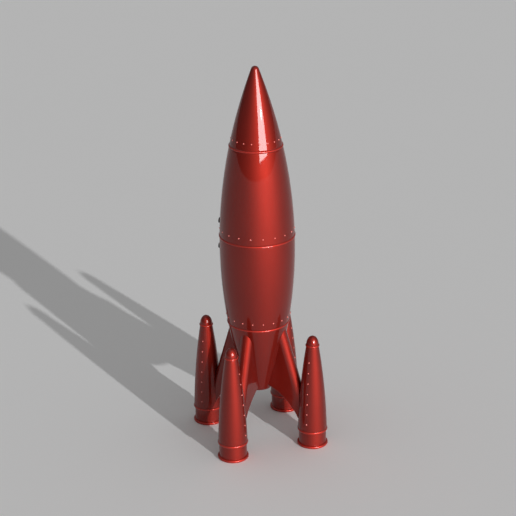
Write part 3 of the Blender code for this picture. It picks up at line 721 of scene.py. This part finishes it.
def finish(name):
    """The named material, made once for each piece family."""
    if name not in FINISHES:
        colours = bpy.context.scene.rocket_finish
        makers = {
            "hull paint": lambda: red_gloss(name, colours.red),
            "pod paint": lambda: red_gloss(name, colours.red),
            "fin paint": lambda: red_gloss(name, colours.red),
            # Beads and pod feet take the hull's red brightened by the lift, a painted highlight.
            "bead paint with painted highlight": lambda: red_gloss(name, tone(colours.red, colours.bead_highlight_lift)),
            # Rivets take the lightened red above, a painted highlight.
            "rivet paint with painted highlight": lambda: red_gloss(name, colours.rivet),
            "inner skin": lambda: bare_moulding(name, colours.white),
            "plug moulding": lambda: bare_moulding(name, tone(colours.white, 0.95)),
            "plywood": lambda: plywood(name, colours.ply),
            "mount card": lambda: wound_paper(name, colours.kraft),
            "motor paper": lambda: wound_paper(name, tone(colours.kraft, 1.15), 0.022),
            "clay": lambda: pressed_grit(name, (0.42, 0.39, 0.35), 900),
            "powder": lambda: pressed_grit(name, (0.035, 0.034, 0.033), 1400, 0.8),
            "black acetal": lambda: black_acetal(name),
            "zinc": lambda: zinc_plate(name),
            "nylon": lambda: ripstop(name, colours.cloth),
            "tissue": lambda: tissue(name),
            "floor": lambda: floor_finish(name, colours.floor),
        }
        FINISHES[name] = makers[name]()
    return FINISHES[name]


# ---- Hull ----------------------------------------------------------------------------------------------


def nose_profile(settings):
    """From the tip's ball down the parabola to the base, and back up inside to the axis.

    The ball is (b cos a, c + b sin a), down to the angle a where the parabola leaves it.
    """
    ball, base = settings.tip_radius, NOSE_SEAM + BEAD_HALF + settings.seam_line
    centre = HULL.tip - ball
    contact = math.atan(-HULL.slope(centre))
    turn = np.linspace(math.pi / 2, contact, 14)[:-1]
    cap = np.stack([ball * np.cos(turn), centre + ball * np.sin(turn)], -1)
    z = np.linspace(centre + ball * math.sin(contact), base, 70)
    wall = np.stack([HULL.at(z), z], -1)
    inset = settings.wall
    inner_ball = ball - inset
    inside = np.stack([HULL.at(z[::-1]) - inset, z[::-1]], -1)
    inside_cap = np.stack(
        [inner_ball * np.cos(turn[::-1]), centre + inner_ball * np.sin(turn[::-1])], -1
    )
    line = np.concatenate([cap, wall, inside, inside_cap])
    setbacks = np.zeros(len(line))
    rim = len(cap) + len(wall)
    setbacks[[rim - 1, rim]] = settings.rim
    line[:, 0] = np.maximum(line[:, 0], 0)
    return rounded(line, setbacks)


def rivet_row(name, line, z, azimuths, body, centre=(0.0, 0.0), material="rivet paint with painted highlight"):
    settings = bpy.context.scene.rocket_hull
    grid = dome_grid(settings.rivet_radius, settings.rivet_proud, settings.rivet_proud)
    points, frames = surface_frames(line, z, azimuths, centre)
    row = scattered(name, grid, points, frames, [finish(material)])
    return fitted(row, body, "red_gloss")


def seam_rivets(name, seam, body):
    """Rivets at equal steps round the hull, above a seam."""
    settings = bpy.context.scene.rocket_hull
    count = settings.rivets
    azimuths = settings.rivet_start + np.arange(count) * TAU / count
    return rivet_row(name, HULL, seam + settings.rivet_rise, azimuths, body)


class ROCKET_OT_nose(bpy.types.Operator):
    """Nose cone, its rivets, the plug glued in its base and the eye under the plug"""

    bl_idname = "rocket.nose"
    bl_label = "Nose"

    def execute(self, context):
        settings = context.scene.rocket_hull
        cone = turned(
            "nose_cone_skin",
            nose_profile(settings),
            settings.columns,
            [finish("hull paint"), finish("inner skin")],
            closed=False,
        )
        line_inside(cone)
        fitted(cone, "nose", "red_gloss", "nose_cone")
        seam_rivets("nose_rivets", NOSE_SEAM, "nose")
        self.plug(context)
        self.eye(context)
        return {"FINISHED"}

    def plug(self, context):
        hull, inside = context.scene.rocket_hull, context.scene.rocket_inside
        bottom, top = low("nose_plug").z, high("nose_plug").z
        wide = half_width("nose_plug")
        step = NOSE_SEAM + BEAD_HALF - inside.fit
        collar = HULL.at(top) - hull.wall - inside.fit
        wall = hull.wall
        floor = bottom + 0.002
        line = [(collar, top), (collar, step), (wide, step), (wide, bottom)]
        radii = [0.0003, 0.0002, 0.0005, 0.0015]
        line += [(0, bottom), (0, floor), (wide - wall, floor), (wide - wall, step - wall)]
        radii += [0, 0, 0.001, 0.0003]
        line += [(collar - wall, step - wall), (collar - wall, top)]
        radii += [0.0003, 0.0003]
        plug = turned(
            "nose_plug_moulding", rounded(line, radii), 128, [finish("plug moulding")]
        )
        fitted(plug, "nose", "white_moulding", "nose_plug")

    def eye(self, context):
        """A ring of round wire on a short shank: a circle of radius w carried round one of radius R."""
        wire = context.scene.rocket_inside.wire
        ring = half_width("recovery_eye") - wire
        top, bottom = high("recovery_eye").z, low("recovery_eye").z
        centre = bottom + wire + ring
        u, v = np.meshgrid(np.arange(48) * TAU / 48, np.arange(16) * TAU / 16, indexing="ij")
        reach = ring + wire * np.cos(v)
        loop = np.stack([reach * np.cos(u), wire * np.sin(v), centre + reach * np.sin(u)], -1)
        eye = skin("eye_loop", loop, quad_rows(48, 16, True, True), [finish("zinc")])
        fitted(eye, "nose", "zinc_wire", "recovery_eye")
        disc = wire * 2.5
        shank = [(0, top), (disc, top), (disc, top - wire), (wire, top - wire)]
        shank += [(wire, centre + ring), (0, centre + ring)]
        radii = [0, 0.0002, 0.0002, 0.0003, 0, 0]
        post = turned("eye_shank", rounded(shank, radii), 32, [finish("zinc")], closed=False)
        fitted(post, "nose", "zinc_wire")


class ROCKET_OT_body(bpy.types.Operator):
    """The two body shells and the tail cone, with the rivets above each seam"""

    bl_idname = "rocket.body"
    bl_label = "Body Shells"

    def execute(self, context):
        settings = context.scene.rocket_hull
        edge = BEAD_HALF + settings.seam_line
        shells = (
            ("upper_body", NOSE_SEAM - edge, WAIST_SEAM + edge),
            ("lower_body", WAIST_SEAM - edge, TAIL_SEAM + edge),
            ("tail_cone", TAIL_SEAM - edge, HULL.tail),
        )
        for node, top, bottom in shells:
            line = wall_profile(HULL, top, bottom, settings.wall, settings.rim)
            shell = turned(
                f"{node}_skin", line, settings.columns, [finish("hull paint"), finish("inner skin")]
            )
            line_inside(shell)
            fitted(shell, "rocket", "red_gloss", node)
        seam_rivets("waist_rivets", WAIST_SEAM, "rocket")
        seam_rivets("tail_rivets", TAIL_SEAM, "rocket")
        return {"FINISHED"}


class ROCKET_OT_rings(bpy.types.Operator):
    """The half-round beads over the three seams"""

    bl_idname = "rocket.rings"
    bl_label = "Seam Rings"

    def execute(self, context):
        settings = context.scene.rocket_hull
        for node, seam in (
            ("nose_ring", NOSE_SEAM),
            ("waist_ring", WAIST_SEAM),
            ("tail_ring", TAIL_SEAM),
        ):
            wide = max(HULL.at(seam + BEAD_HALF), HULL.at(seam - BEAD_HALF))
            inner = wide - settings.wall + 0.0002
            line = bead_profile(HULL.at(seam), seam, inner, BEAD_HALF, settings.bead_proud)
            bead = turned(f"{node}_bead", line, settings.columns, [finish("bead paint with painted highlight")])
            fitted(bead, "rocket", "red_gloss", node)
        return {"FINISHED"}


# ---- Launch guides -------------------------------------------------------------------------------------


class ROCKET_OT_guides(bpy.types.Operator):
    """The two black launch guides with their socket-head screws"""

    bl_idname = "rocket.guides"
    bl_label = "Launch Guides"

    def execute(self, context):
        for which in ("upper", "lower"):
            node = f"{which}_launch_guide"
            corners = [np.array(corner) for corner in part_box(node)]
            centre = (corners[0] + corners[1]) / 2
            azimuth = math.atan2(centre[1], centre[0])
            reach = math.hypot(centre[0], centre[1])
            z = centre[2] - (reach - HULL.at(centre[2])) * -HULL.slope(centre[2])
            points, frames = surface_frames(HULL, [z], [azimuth])
            self.spool(which, points, frames)
            self.screw(which, points, frames)
        return {"FINISHED"}

    def spool(self, which, points, frames):
        """A spool: wide foot, narrow neck, wide lip with a countersunk seat for the screw."""
        rim, neck, proud, foot = 0.00315, 0.0022, 0.0026, 0.0007
        bore, seat, lip_base, seat_floor = 0.0011, 0.0019, proud - 0.0009, proud - 0.001
        line = [(rim, proud), (rim, lip_base), (neck, lip_base), (neck, foot)]
        line += [(rim, foot), (rim, 0.0), (bore, 0.0), (bore, seat_floor)]
        line += [(seat, seat_floor), (seat, proud)]
        radii = [0.00025, 0.0002, 0.0002, 0.0002, 0.0002, 0.0001, 0.0001, 0.0001, 0.0001, 0.0002]
        grid = turned_points(rounded(line, radii), 40)
        placed = points[0] + grid @ frames[0]
        faces = quad_rows(*grid.shape[:2], True, True)
        spool = skin(f"{which}_guide_spool", placed, faces, [finish("black acetal")])
        fitted(spool, "rocket", "black_acetal", f"{which}_launch_guide")

    def screw(self, which, points, frames):
        """A round head with a six-sided socket: the socket's radius is r / cos of the angle from a flat."""
        head, proud, height, shank, reach = 0.0016, 0.0026, 0.0008, 0.0008, 0.0040
        recess, depth, columns = 0.0008, 0.0006, 48
        line = [(0, proud - depth), (recess, proud - depth), (recess, proud), (head, proud)]
        line += [(head, proud - height), (shank, proud - height), (shank, -reach), (0, -reach)]
        radii = [0, 0.00005, 0.00008, 0.0003, 0.0001, 0.0001, 0.0003, 0]
        profile = rounded(line, radii)
        grid = turned_points(profile, columns)
        angle = np.arange(columns) * TAU / columns
        flat = np.cos(math.pi / 6) / np.cos((angle % (TAU / 6)) - math.pi / 6)
        socket = (profile[:, 0] < recess + 0.0001) & (profile[:, 1] > proud - height)
        grid[socket, :, :2] *= flat[None, :, None]
        placed = points[0] + grid @ frames[0]
        faces = quad_rows(*grid.shape[:2], False, True)
        screw = skin(f"{which}_guide_screw_head", placed, faces, [finish("zinc")])
        fitted(screw, "rocket", "screw_steel", f"{which}_guide_screw")


# ---- Fins ----------------------------------------------------------------------------------------------


def fin_grid(settings, rows=170, across=32, along=24):
    """Slices through a fin towards +X, between its arch or the hull and its leading edge or the pod.

    For each offset y the inner side is the larger of the hull's sqrt(r(z)^2 - y^2) and the arch's
    c + sqrt((R + k(y))^2 - z^2), where k rounds the arch's corners. The outer side is the smaller
    of the leading edge's sloping line, drawn back as a half ellipse in y, and the pod's side. The
    rows run between the two heights where inner and outer sides meet.
    """
    half = (high("right_fin").y - low("right_fin").y) / 2
    crest_z = TAIL_SEAM - settings.crest_drop
    crest_x = float(HULL.at(crest_z))
    meet_z = settings.pod_height
    meet_x = POD.axis - float(POD.at(meet_z))
    run = (crest_x - meet_x) / (crest_z - meet_z)
    root_z, foot_z = HULL.tail + settings.arch_root_rise, settings.arch_foot
    root_x, foot_x = float(HULL.at(root_z)), POD.axis - float(POD.at(foot_z))
    centre = (foot_x**2 + foot_z**2 - root_x**2 - root_z**2) / (2 * (foot_x - root_x))
    radius = math.hypot(root_x - centre, root_z)
    edge, sink = settings.edge, settings.sink

    def sides(z, y):
        from_edge = np.maximum(np.abs(y) - (half - edge), 0)
        arch_r = radius + edge - np.sqrt(np.maximum(edge**2 - from_edge**2, 0))
        arch = np.where(z < arch_r, centre + np.sqrt(np.maximum(arch_r**2 - z**2, 0)), 0)
        hull_r = np.where(z > HULL.tail, HULL.at(z), 0)
        inner = np.maximum(arch, np.sqrt(np.maximum(hull_r**2 - y**2, 0)) - sink)
        back = half * math.hypot(1, run) * (1 - np.sqrt(np.maximum(1 - (y / half) ** 2, 0)))
        lead = meet_x + run * (z - meet_z) - back
        pod = POD.axis - np.sqrt(np.maximum(POD.at(z) ** 2 - y**2, 0)) + sink
        return inner, np.minimum(lead, pod)

    turn = half * np.sin(np.linspace(-math.pi / 2, math.pi / 2, across + 1))
    flat = np.linspace(0, 1, along + 1)[1:-1]
    level = np.full(len(flat), half)
    y = np.concatenate([turn, level, turn[::-1], -level])
    share = np.concatenate([np.ones(len(turn)), flat[::-1], np.zeros(len(turn)), flat])
    trial = np.linspace(foot_z - 0.02, crest_z + 0.01, 6001)[:, None]
    inner, outer = sides(trial, y[None])
    solid = outer > inner
    first = trial[np.argmax(solid, 0), 0]
    last = trial[len(trial) - 1 - np.argmax(solid[::-1], 0), 0]
    z = first + (last - first) * np.linspace(0, 1, rows)[:, None]
    inner, outer = sides(z, y[None])
    outer = np.maximum(inner, outer)
    outer[[0, -1]] = inner[[0, -1]]
    x = inner + (outer - inner) * share
    return np.stack([x, np.broadcast_to(y, x.shape), z], -1)


class ROCKET_OT_fins(bpy.types.Operator):
    """The four thick fins between the tail and the pods"""

    bl_idname = "rocket.fins"
    bl_label = "Fins"

    def execute(self, context):
        grid = fin_grid(context.scene.rocket_fins)
        rows, columns = grid.shape[:2]
        faces = quad_rows(rows, columns, False, True)
        for index, side in enumerate(SIDES):
            turn = np.array(Matrix.Rotation(index * TAU / 4, 3, "Z"))
            points = grid @ turn.T
            fin = skin(f"{side}_fin_blade", points, faces, [finish("fin paint")], crease=28)
            fitted(fin, "rocket", "red_balsa", f"{side}_fin")
        return {"FINISHED"}


# ---- Pods ----------------------------------------------------------------------------------------------


def pod_lines(settings, seam_line, rim):
    """The profiles of a pod's turned pieces, by name, each with whether it is closed."""
    cap_seam = middle_height("right_pod_cap_ring")
    cap_half = (high("right_pod_cap_ring").z - low("right_pod_cap_ring").z) / 2
    belt = middle_height("right_pod_belt_ring")
    belt_half = (high("right_pod_belt_ring").z - low("right_pod_belt_ring").z) / 2
    neck = float(POD.at(cap_seam))
    top, bottom = cap_seam - cap_half - seam_line, belt + belt_half + seam_line
    shell = wall_profile(POD, top, bottom, settings.wall, rim, 50)
    base = cap_seam + cap_half + seam_line
    crown = high("right_pod_cap").z
    a = np.linspace(math.pi / 2, 0, 24)
    dome = np.stack([neck * np.cos(a), base + (crown - base) * np.sin(a)], -1)
    spigot, foot_of_cap = neck - settings.wall - GLUE_GAP, low("right_pod_cap").z
    cap = np.concatenate([dome, [(spigot, base), (spigot, foot_of_cap), (0, foot_of_cap)]])
    cap[0, 0] = 0
    ring = bead_profile(neck, cap_seam, spigot, cap_half, settings.cap_bead, 13)
    waist = float(POD.at(belt))
    skirt_r = half_width("right_pod_skirt")
    inside = float(POD.at(high("right_pod_skirt").z)) - settings.wall - GLUE_GAP
    band = bead_profile(waist, belt, inside, belt_half, settings.belt_bead, 13)
    step, skirt_top = belt - belt_half - seam_line, high("right_pod_skirt").z
    foot_top = low("right_pod_skirt").z - GLUE_GAP
    bore = min(inside, skirt_r) - settings.wall
    skirt = rounded(
        [
            (inside, skirt_top),
            (inside, step),
            (skirt_r, step),
            (skirt_r, foot_top + seam_line),
            (bore, foot_top + seam_line),
            (bore, skirt_top),
        ],
        [0, 0, rim, 0, 0, 0],
    )
    foot_r = half_width("right_pod_foot") + 0.0002
    plug = bore - GLUE_GAP
    crown_z = high("right_pod_foot").z
    r = settings.foot_round
    foot = rounded(
        [
            (0, crown_z),
            (plug, crown_z),
            (plug, foot_top),
            (foot_r, foot_top),
            (foot_r, 0),
            (0, 0),
        ],
        [0, rim, 0, r, r, 0],
        10,
    )
    return {
        "shell": (shell, True, "pod paint"),
        "cap": (cap, False, "pod paint"),
        "cap_ring": (ring, True, "bead paint with painted highlight"),
        "belt_ring": (band, True, "bead paint with painted highlight"),
        "skirt": (skirt, True, "pod paint"),
        "foot": (foot, False, "bead paint with painted highlight"),
    }


class ROCKET_OT_pods(bpy.types.Operator):
    """The four pods: shell, cap, beads, skirt, foot and two lines of rivets each"""

    bl_idname = "rocket.pods"
    bl_label = "Pods"

    def execute(self, context):
        settings, hull = context.scene.rocket_pods, context.scene.rocket_hull
        lines = pod_lines(settings, hull.seam_line, hull.rim)
        heights = settings.rivet_first + settings.rivet_pitch * np.arange(settings.rivets)
        for index, side in enumerate(SIDES):
            azimuth = index * TAU / 4
            centre = (POD.axis * math.cos(azimuth), POD.axis * math.sin(azimuth))
            for key, (line, closed, paint) in lines.items():
                piece = turned(
                    f"{side}_pod_{key}_skin", line, settings.columns, [finish(paint)], closed, centre
                )
                fitted(piece, "rocket", "red_gloss", f"{side}_pod_{key}")
            z = np.concatenate([heights, heights])
            sides = np.repeat([azimuth + TAU / 4, azimuth - TAU / 4], len(heights))
            rivet_row(f"{side}_pod_rivets", POD, z, sides, "rocket", centre)
        return {"FINISHED"}


# ---- Inside --------------------------------------------------------------------------------------------


class ROCKET_OT_couplers(bpy.types.Operator):
    """The sleeves inside the waist and tail seams"""

    bl_idname = "rocket.couplers"
    bl_label = "Couplers"

    def execute(self, context):
        hull, inside = context.scene.rocket_hull, context.scene.rocket_inside

        class Sleeve:
            @staticmethod
            def at(z):
                return HULL.at(z) - hull.wall - inside.fit

        for node in ("waist_coupler", "tail_coupler"):
            line = wall_profile(Sleeve, high(node).z, low(node).z, hull.wall, 0.0004, 30)
            sleeve = turned(f"{node}_sleeve", line, 128, [finish("plug moulding")])
            fitted(sleeve, "rocket", "white_moulding", node)
        return {"FINISHED"}


def plate_line(node, edge_inset, bore, chamfer=0.0003):
    """A flat ring whose rim follows the hull's wall: rim and bore at the node's own heights."""
    top, bottom = high(node).z, low(node).z
    line = [(float(HULL.at(top)) - edge_inset, top), (float(HULL.at(bottom)) - edge_inset, bottom)]
    line += [(bore, bottom), (bore, top)]
    return rounded(line, [chamfer] * 4)


class ROCKET_OT_mount(bpy.types.Operator):
    """The motor tube, its thrust ring and the plywood rings that centre it"""

    bl_idname = "rocket.mount"
    bl_label = "Motor Mount"

    def execute(self, context):
        hull, inside = context.scene.rocket_hull, context.scene.rocket_inside
        tube = half_width("motor_tube")
        bore = tube - inside.tube_wall
        top, bottom = high("motor_tube").z, low("motor_tube").z
        line = [(tube, top), (tube, bottom), (bore, bottom), (bore, top)]
        piece = turned("motor_tube_card", rounded(line, [0.0002] * 4), 96, [finish("mount card")])
        fitted(piece, "rocket", "kraft_card", "motor_tube")
        outer = half_width("thrust_ring")
        top, bottom = high("thrust_ring").z, low("thrust_ring").z
        line = [(outer, top), (outer, bottom), (outer - 0.004, bottom), (outer - 0.004, top)]
        piece = turned("thrust_ring_card", rounded(line, [0.0003] * 4), 72, [finish("mount card")])
        fitted(piece, "rocket", "kraft_card", "thrust_ring")
        for node in ("upper_centring_ring", "lower_centring_ring"):
            line = plate_line(node, hull.wall + inside.fit, tube + inside.fit)
            piece = turned(f"{node}_ply", line, 128, [finish("plywood")])
            fitted(piece, "rocket", "plywood", node)
        return {"FINISHED"}


class ROCKET_OT_motor(bpy.types.Operator):
    """The motor: wound paper case, clay nozzle, powder grain and clay cap"""

    bl_idname = "rocket.motor"
    bl_label = "Motor"

    def execute(self, context):
        inside = context.scene.rocket_inside
        radius = half_width("motor_case")
        bore = radius - inside.case_wall
        top, bottom = high("motor_case").z, low("motor_case").z
        line = [(radius, top), (radius, bottom), (bore, bottom), (bore, top)]
        case = turned("motor_case_paper", rounded(line, [0.0005] * 4), 96, [finish("motor paper")])
        fitted(case, "motor", "motor_paper", "motor_case")
        plug = half_width("motor_nozzle")
        lower, upper = low("motor_nozzle").z, high("motor_nozzle").z
        throat = (lower + upper) / 2
        a = np.linspace(0, 1, 16)
        swell = inside.throat + (inside.mouth - inside.throat) * (1 - a) ** 1.35
        cone = np.stack([swell, lower + (throat - lower) * a], -1)
        line = np.concatenate(
            [[(plug, upper), (plug, lower)], cone, [(inside.throat, upper)]]
        )
        setbacks = [0.0002, 0.0004, 0.0004] + [0] * 15 + [0.0002]
        nozzle = turned("nozzle_clay", rounded(line, setbacks), 64, [finish("clay")], crease=50)
        fitted(nozzle, "motor", "nozzle_clay", "motor_nozzle")
        for node, slot, material in (
            ("motor_grain", "motor_grain", "powder"),
            ("motor_cap", "nozzle_clay", "clay"),
        ):
            reach, bottom, top = half_width(node), low(node).z, high(node).z
            line = [(0, top), (reach, top), (reach, bottom), (0, bottom)]
            disc = turned(
                f"{node}_press", rounded(line, [0, 0.0003, 0.0003, 0]), 64, [finish(material)], False
            )
            fitted(disc, "motor", slot, node)
        return {"FINISHED"}


def bundle_grid(radius, bottom, top, folds, depth, rows=90, columns=160, twist=1.2):
    """A soft bundle: r = R (1 - |2s - 1|^6)^(1/3) less pleats that deepen towards the ends.

    The pleats are depth (1 - |sin|) of folds half turns, twisted up the bundle, with a slower
    wave over them so that no two are alike.
    """
    s = np.linspace(0, 1, rows)[:, None]
    t = (np.arange(columns) * TAU / columns)[None]
    ends = (1 - np.abs(2 * s - 1) ** 6) ** (1 / 3)
    phase = folds * t / 2 + twist * s + 0.35 * np.sin(3 * t + 4 * s)
    pleat = 1 - np.abs(np.sin(phase))
    slow = 0.5 + 0.5 * np.sin(2 * t + 1.3 + 2.2 * s)
    r = radius * ends * (1 - depth * pleat**3 * (0.45 + 0.55 * slow))
    puff = 0.035 * np.sin(5 * t + 6 * s) * (1 - ends)
    z = bottom + (top - bottom) * (s + puff * np.minimum(s, 1 - s))
    z = np.broadcast_to(z, r.shape)
    return np.stack([r * np.cos(t), r * np.sin(t), z], -1)


class ROCKET_OT_bay(bpy.types.Operator):
    """The bay's plywood floor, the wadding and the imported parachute"""

    bl_idname = "rocket.bay"
    bl_label = "Parachute Bay"

    def execute(self, context):
        hull, inside = context.scene.rocket_hull, context.scene.rocket_inside
        inset = 2 * (hull.wall + inside.fit)
        line = plate_line("bay_floor", inset, inside.vent)
        floor = turned("bay_floor_ply", line, 128, [finish("plywood")])
        fitted(floor, "rocket", "plywood", "bay_floor")
        for node, name, material, slot, folds, depth, fill in (
            ("wadding", "wadding_tissue", "tissue", "wadding_paper", 22, 0.05, 0.35),
            ("parachute_pack", "parachute_bundle", "nylon", "parachute_cloth", 14, 0.16, 0.55),
        ):
            grid = bundle_grid(
                half_width(node) * 0.995, low(node).z, high(node).z, folds, depth
            )
            faces = quad_rows(*grid.shape[:2], False, True)
            bundle = skin(name, grid, faces, [finish(material)], crease=70)
            fitted(bundle, "rocket", slot, node)
        return {"FINISHED"}


# ---- Stage ---------------------------------------------------------------------------------------------


class ROCKET_OT_stage(bpy.types.Operator):
    """The camera, the pale floor, the key light and the soft light all round"""

    bl_idname = "rocket.stage"
    bl_label = "Stage"

    def execute(self, context):
        settings = context.scene.rocket_stage
        self.camera(context, settings)
        self.floor()
        self.key_light(settings)
        self.softbox(settings)
        self.soft_light(context, settings)
        context.scene.view_settings.view_transform = "Standard"
        return {"FINISHED"}

    def camera(self, context, settings):
        camera = bpy.data.objects.new("camera", bpy.data.cameras.new("camera"))
        context.scene.collection.objects.link(camera)
        camera.data.sensor_width = 36.0
        camera.data.lens = settings.lens
        camera.data.clip_end = 50.0
        around = Matrix.Rotation(settings.azimuth, 4, "Z")
        back = Matrix.Translation((0, -settings.distance, settings.height))
        turn = Matrix.Rotation(-settings.yaw, 4, "Z")
        tilt = Matrix.Rotation(math.pi / 2 - settings.pitch, 4, "X")
        roll = Matrix.Rotation(settings.roll, 4, "Z")
        camera.matrix_world = around @ back @ turn @ tilt @ roll
        context.scene.camera = camera

    def floor(self):
        """A square sheet in the plane z = 0, reaching equally far along X and Y."""
        reach = 20.0
        line = np.linspace(-reach, reach, 3)
        x, y = np.meshgrid(line, line, indexing="ij")
        points = np.stack([x, y, np.zeros_like(x)], -1)
        mesh = bpy.data.meshes.new("studio_floor")
        faces = quad_rows(3, 3, False, False)[:, ::-1]
        mesh.from_pydata(points.reshape(-1, 3).tolist(), [], faces.tolist())
        mesh.materials.append(finish("floor"))
        floor = bpy.data.objects.new("studio_floor", mesh)
        bpy.context.scene.collection.objects.link(floor)
        if mesh.polygons[0].normal.z < 0:
            mesh.flip_normals()

    def key_light(self, settings):
        light = bpy.data.lights.new("key_light", "SUN")
        light.energy = settings.sun_strength
        light.angle = settings.sun_width
        sun = bpy.data.objects.new("key_light", light)
        turn = Matrix.Rotation(settings.sun_azimuth + math.pi / 2, 4, "Z")
        tilt = Matrix.Rotation(math.pi / 2 - settings.sun_elevation, 4, "X")
        sun.matrix_world = turn @ tilt
        bpy.context.scene.collection.objects.link(sun)

    def softbox(self, settings):
        """A broad softbox far out on the key's side, seen in the gloss only: w = 2 d tan(spread / 2)."""
        away = settings.box_away
        bottom = settings.box_level + away * math.tan(settings.box_low)
        top = settings.box_level + away * math.tan(settings.box_high)
        light = bpy.data.lights.new("softbox", "AREA")
        light.shape = "RECTANGLE"
        light.size = 2 * away * math.tan(settings.box_spread / 2)
        light.size_y = top - bottom
        light.energy = settings.softbox * math.pi * light.size * light.size_y
        box = bpy.data.objects.new("softbox", light)
        azimuth = settings.sun_azimuth + settings.box_turn
        turn = Matrix.Rotation(azimuth + math.pi / 2, 4, "Z")
        place = Matrix.Translation((0, -away, (bottom + top) / 2))
        box.matrix_world = turn @ place @ Matrix.Rotation(math.pi / 2, 4, "X")
        box.visible_diffuse = False
        box.visible_camera = False
        bpy.context.scene.collection.objects.link(box)

    def soft_light(self, context, settings):
        """A sky whose grey rises evenly from low to high with the direction's z; pale where it is seen."""
        world = bpy.data.worlds.new("soft_light")
        world.use_nodes = True
        context.scene.world = world
        tree = world.node_tree
        place = tree.nodes.new("ShaderNodeTexCoord")
        split = tree.nodes.new("ShaderNodeSeparateXYZ")
        tree.links.new(place.outputs["Generated"], split.inputs[0])
        rise = tree.nodes.new("ShaderNodeMapRange")
        tree.links.new(split.outputs["Z"], rise.inputs["Value"])
        ends = {"From Min": -0.1, "From Max": 1.0, "To Min": settings.sky_low, "To Max": settings.sky_high}
        for socket, number in ends.items():
            rise.inputs[socket].default_value = number
        back = tree.nodes["Background"]
        back.inputs["Color"].default_value = (1.0, 1.0, 1.0, 1.0)
        strength = tree.nodes.new("ShaderNodeMath")
        strength.operation = "MULTIPLY"
        tree.links.new(rise.outputs["Result"], strength.inputs[0])
        strength.inputs[1].default_value = settings.sky_strength
        seen = tree.nodes.new("ShaderNodeMix")
        path = tree.nodes.new("ShaderNodeLightPath")
        tree.links.new(path.outputs["Is Camera Ray"], seen.inputs["Factor"])
        tree.links.new(strength.outputs[0], seen.inputs["A"])
        seen.inputs["B"].default_value = settings.backdrop
        tree.links.new(seen.outputs["Result"], back.inputs["Strength"])


# ---- Panel and start -----------------------------------------------------------------------------------

OPERATORS = (
    ROCKET_OT_stage,
    ROCKET_OT_nose,
    ROCKET_OT_body,
    ROCKET_OT_rings,
    ROCKET_OT_guides,
    ROCKET_OT_fins,
    ROCKET_OT_pods,
    ROCKET_OT_couplers,
    ROCKET_OT_mount,
    ROCKET_OT_motor,
    ROCKET_OT_bay,
)


class ROCKET_PT_panel(bpy.types.Panel):
    """The rocket's pieces, in the order they are made"""

    bl_idname = "ROCKET_PT_panel"
    bl_label = "Model Rocket"
    bl_space_type = "VIEW_3D"
    bl_region_type = "UI"
    bl_category = "Rocket"

    def draw(self, context):
        for operator in OPERATORS:
            self.layout.operator(operator.bl_idname)
        for name in SETTINGS:
            box = self.layout.box()
            group = getattr(context.scene, name)
            for key in group.bl_rna.properties.keys():
                if key not in {"rna_type", "name"}:
                    box.prop(group, key)


CLASSES = (*SETTINGS.values(), *OPERATORS, ROCKET_PT_panel)


def register():
    for cls in CLASSES:
        bpy.utils.register_class(cls)
    for name, cls in SETTINGS.items():
        setattr(bpy.types.Scene, name, PointerProperty(type=cls))


def unregister():
    for name in SETTINGS:
        delattr(bpy.types.Scene, name)
    for cls in reversed(CLASSES):
        bpy.utils.unregister_class(cls)


def main():
    register()
    for operator in OPERATORS:
        group, name = operator.bl_idname.split(".")
        getattr(getattr(bpy.ops, group), name)()


if __name__ == "__main__":
    main()
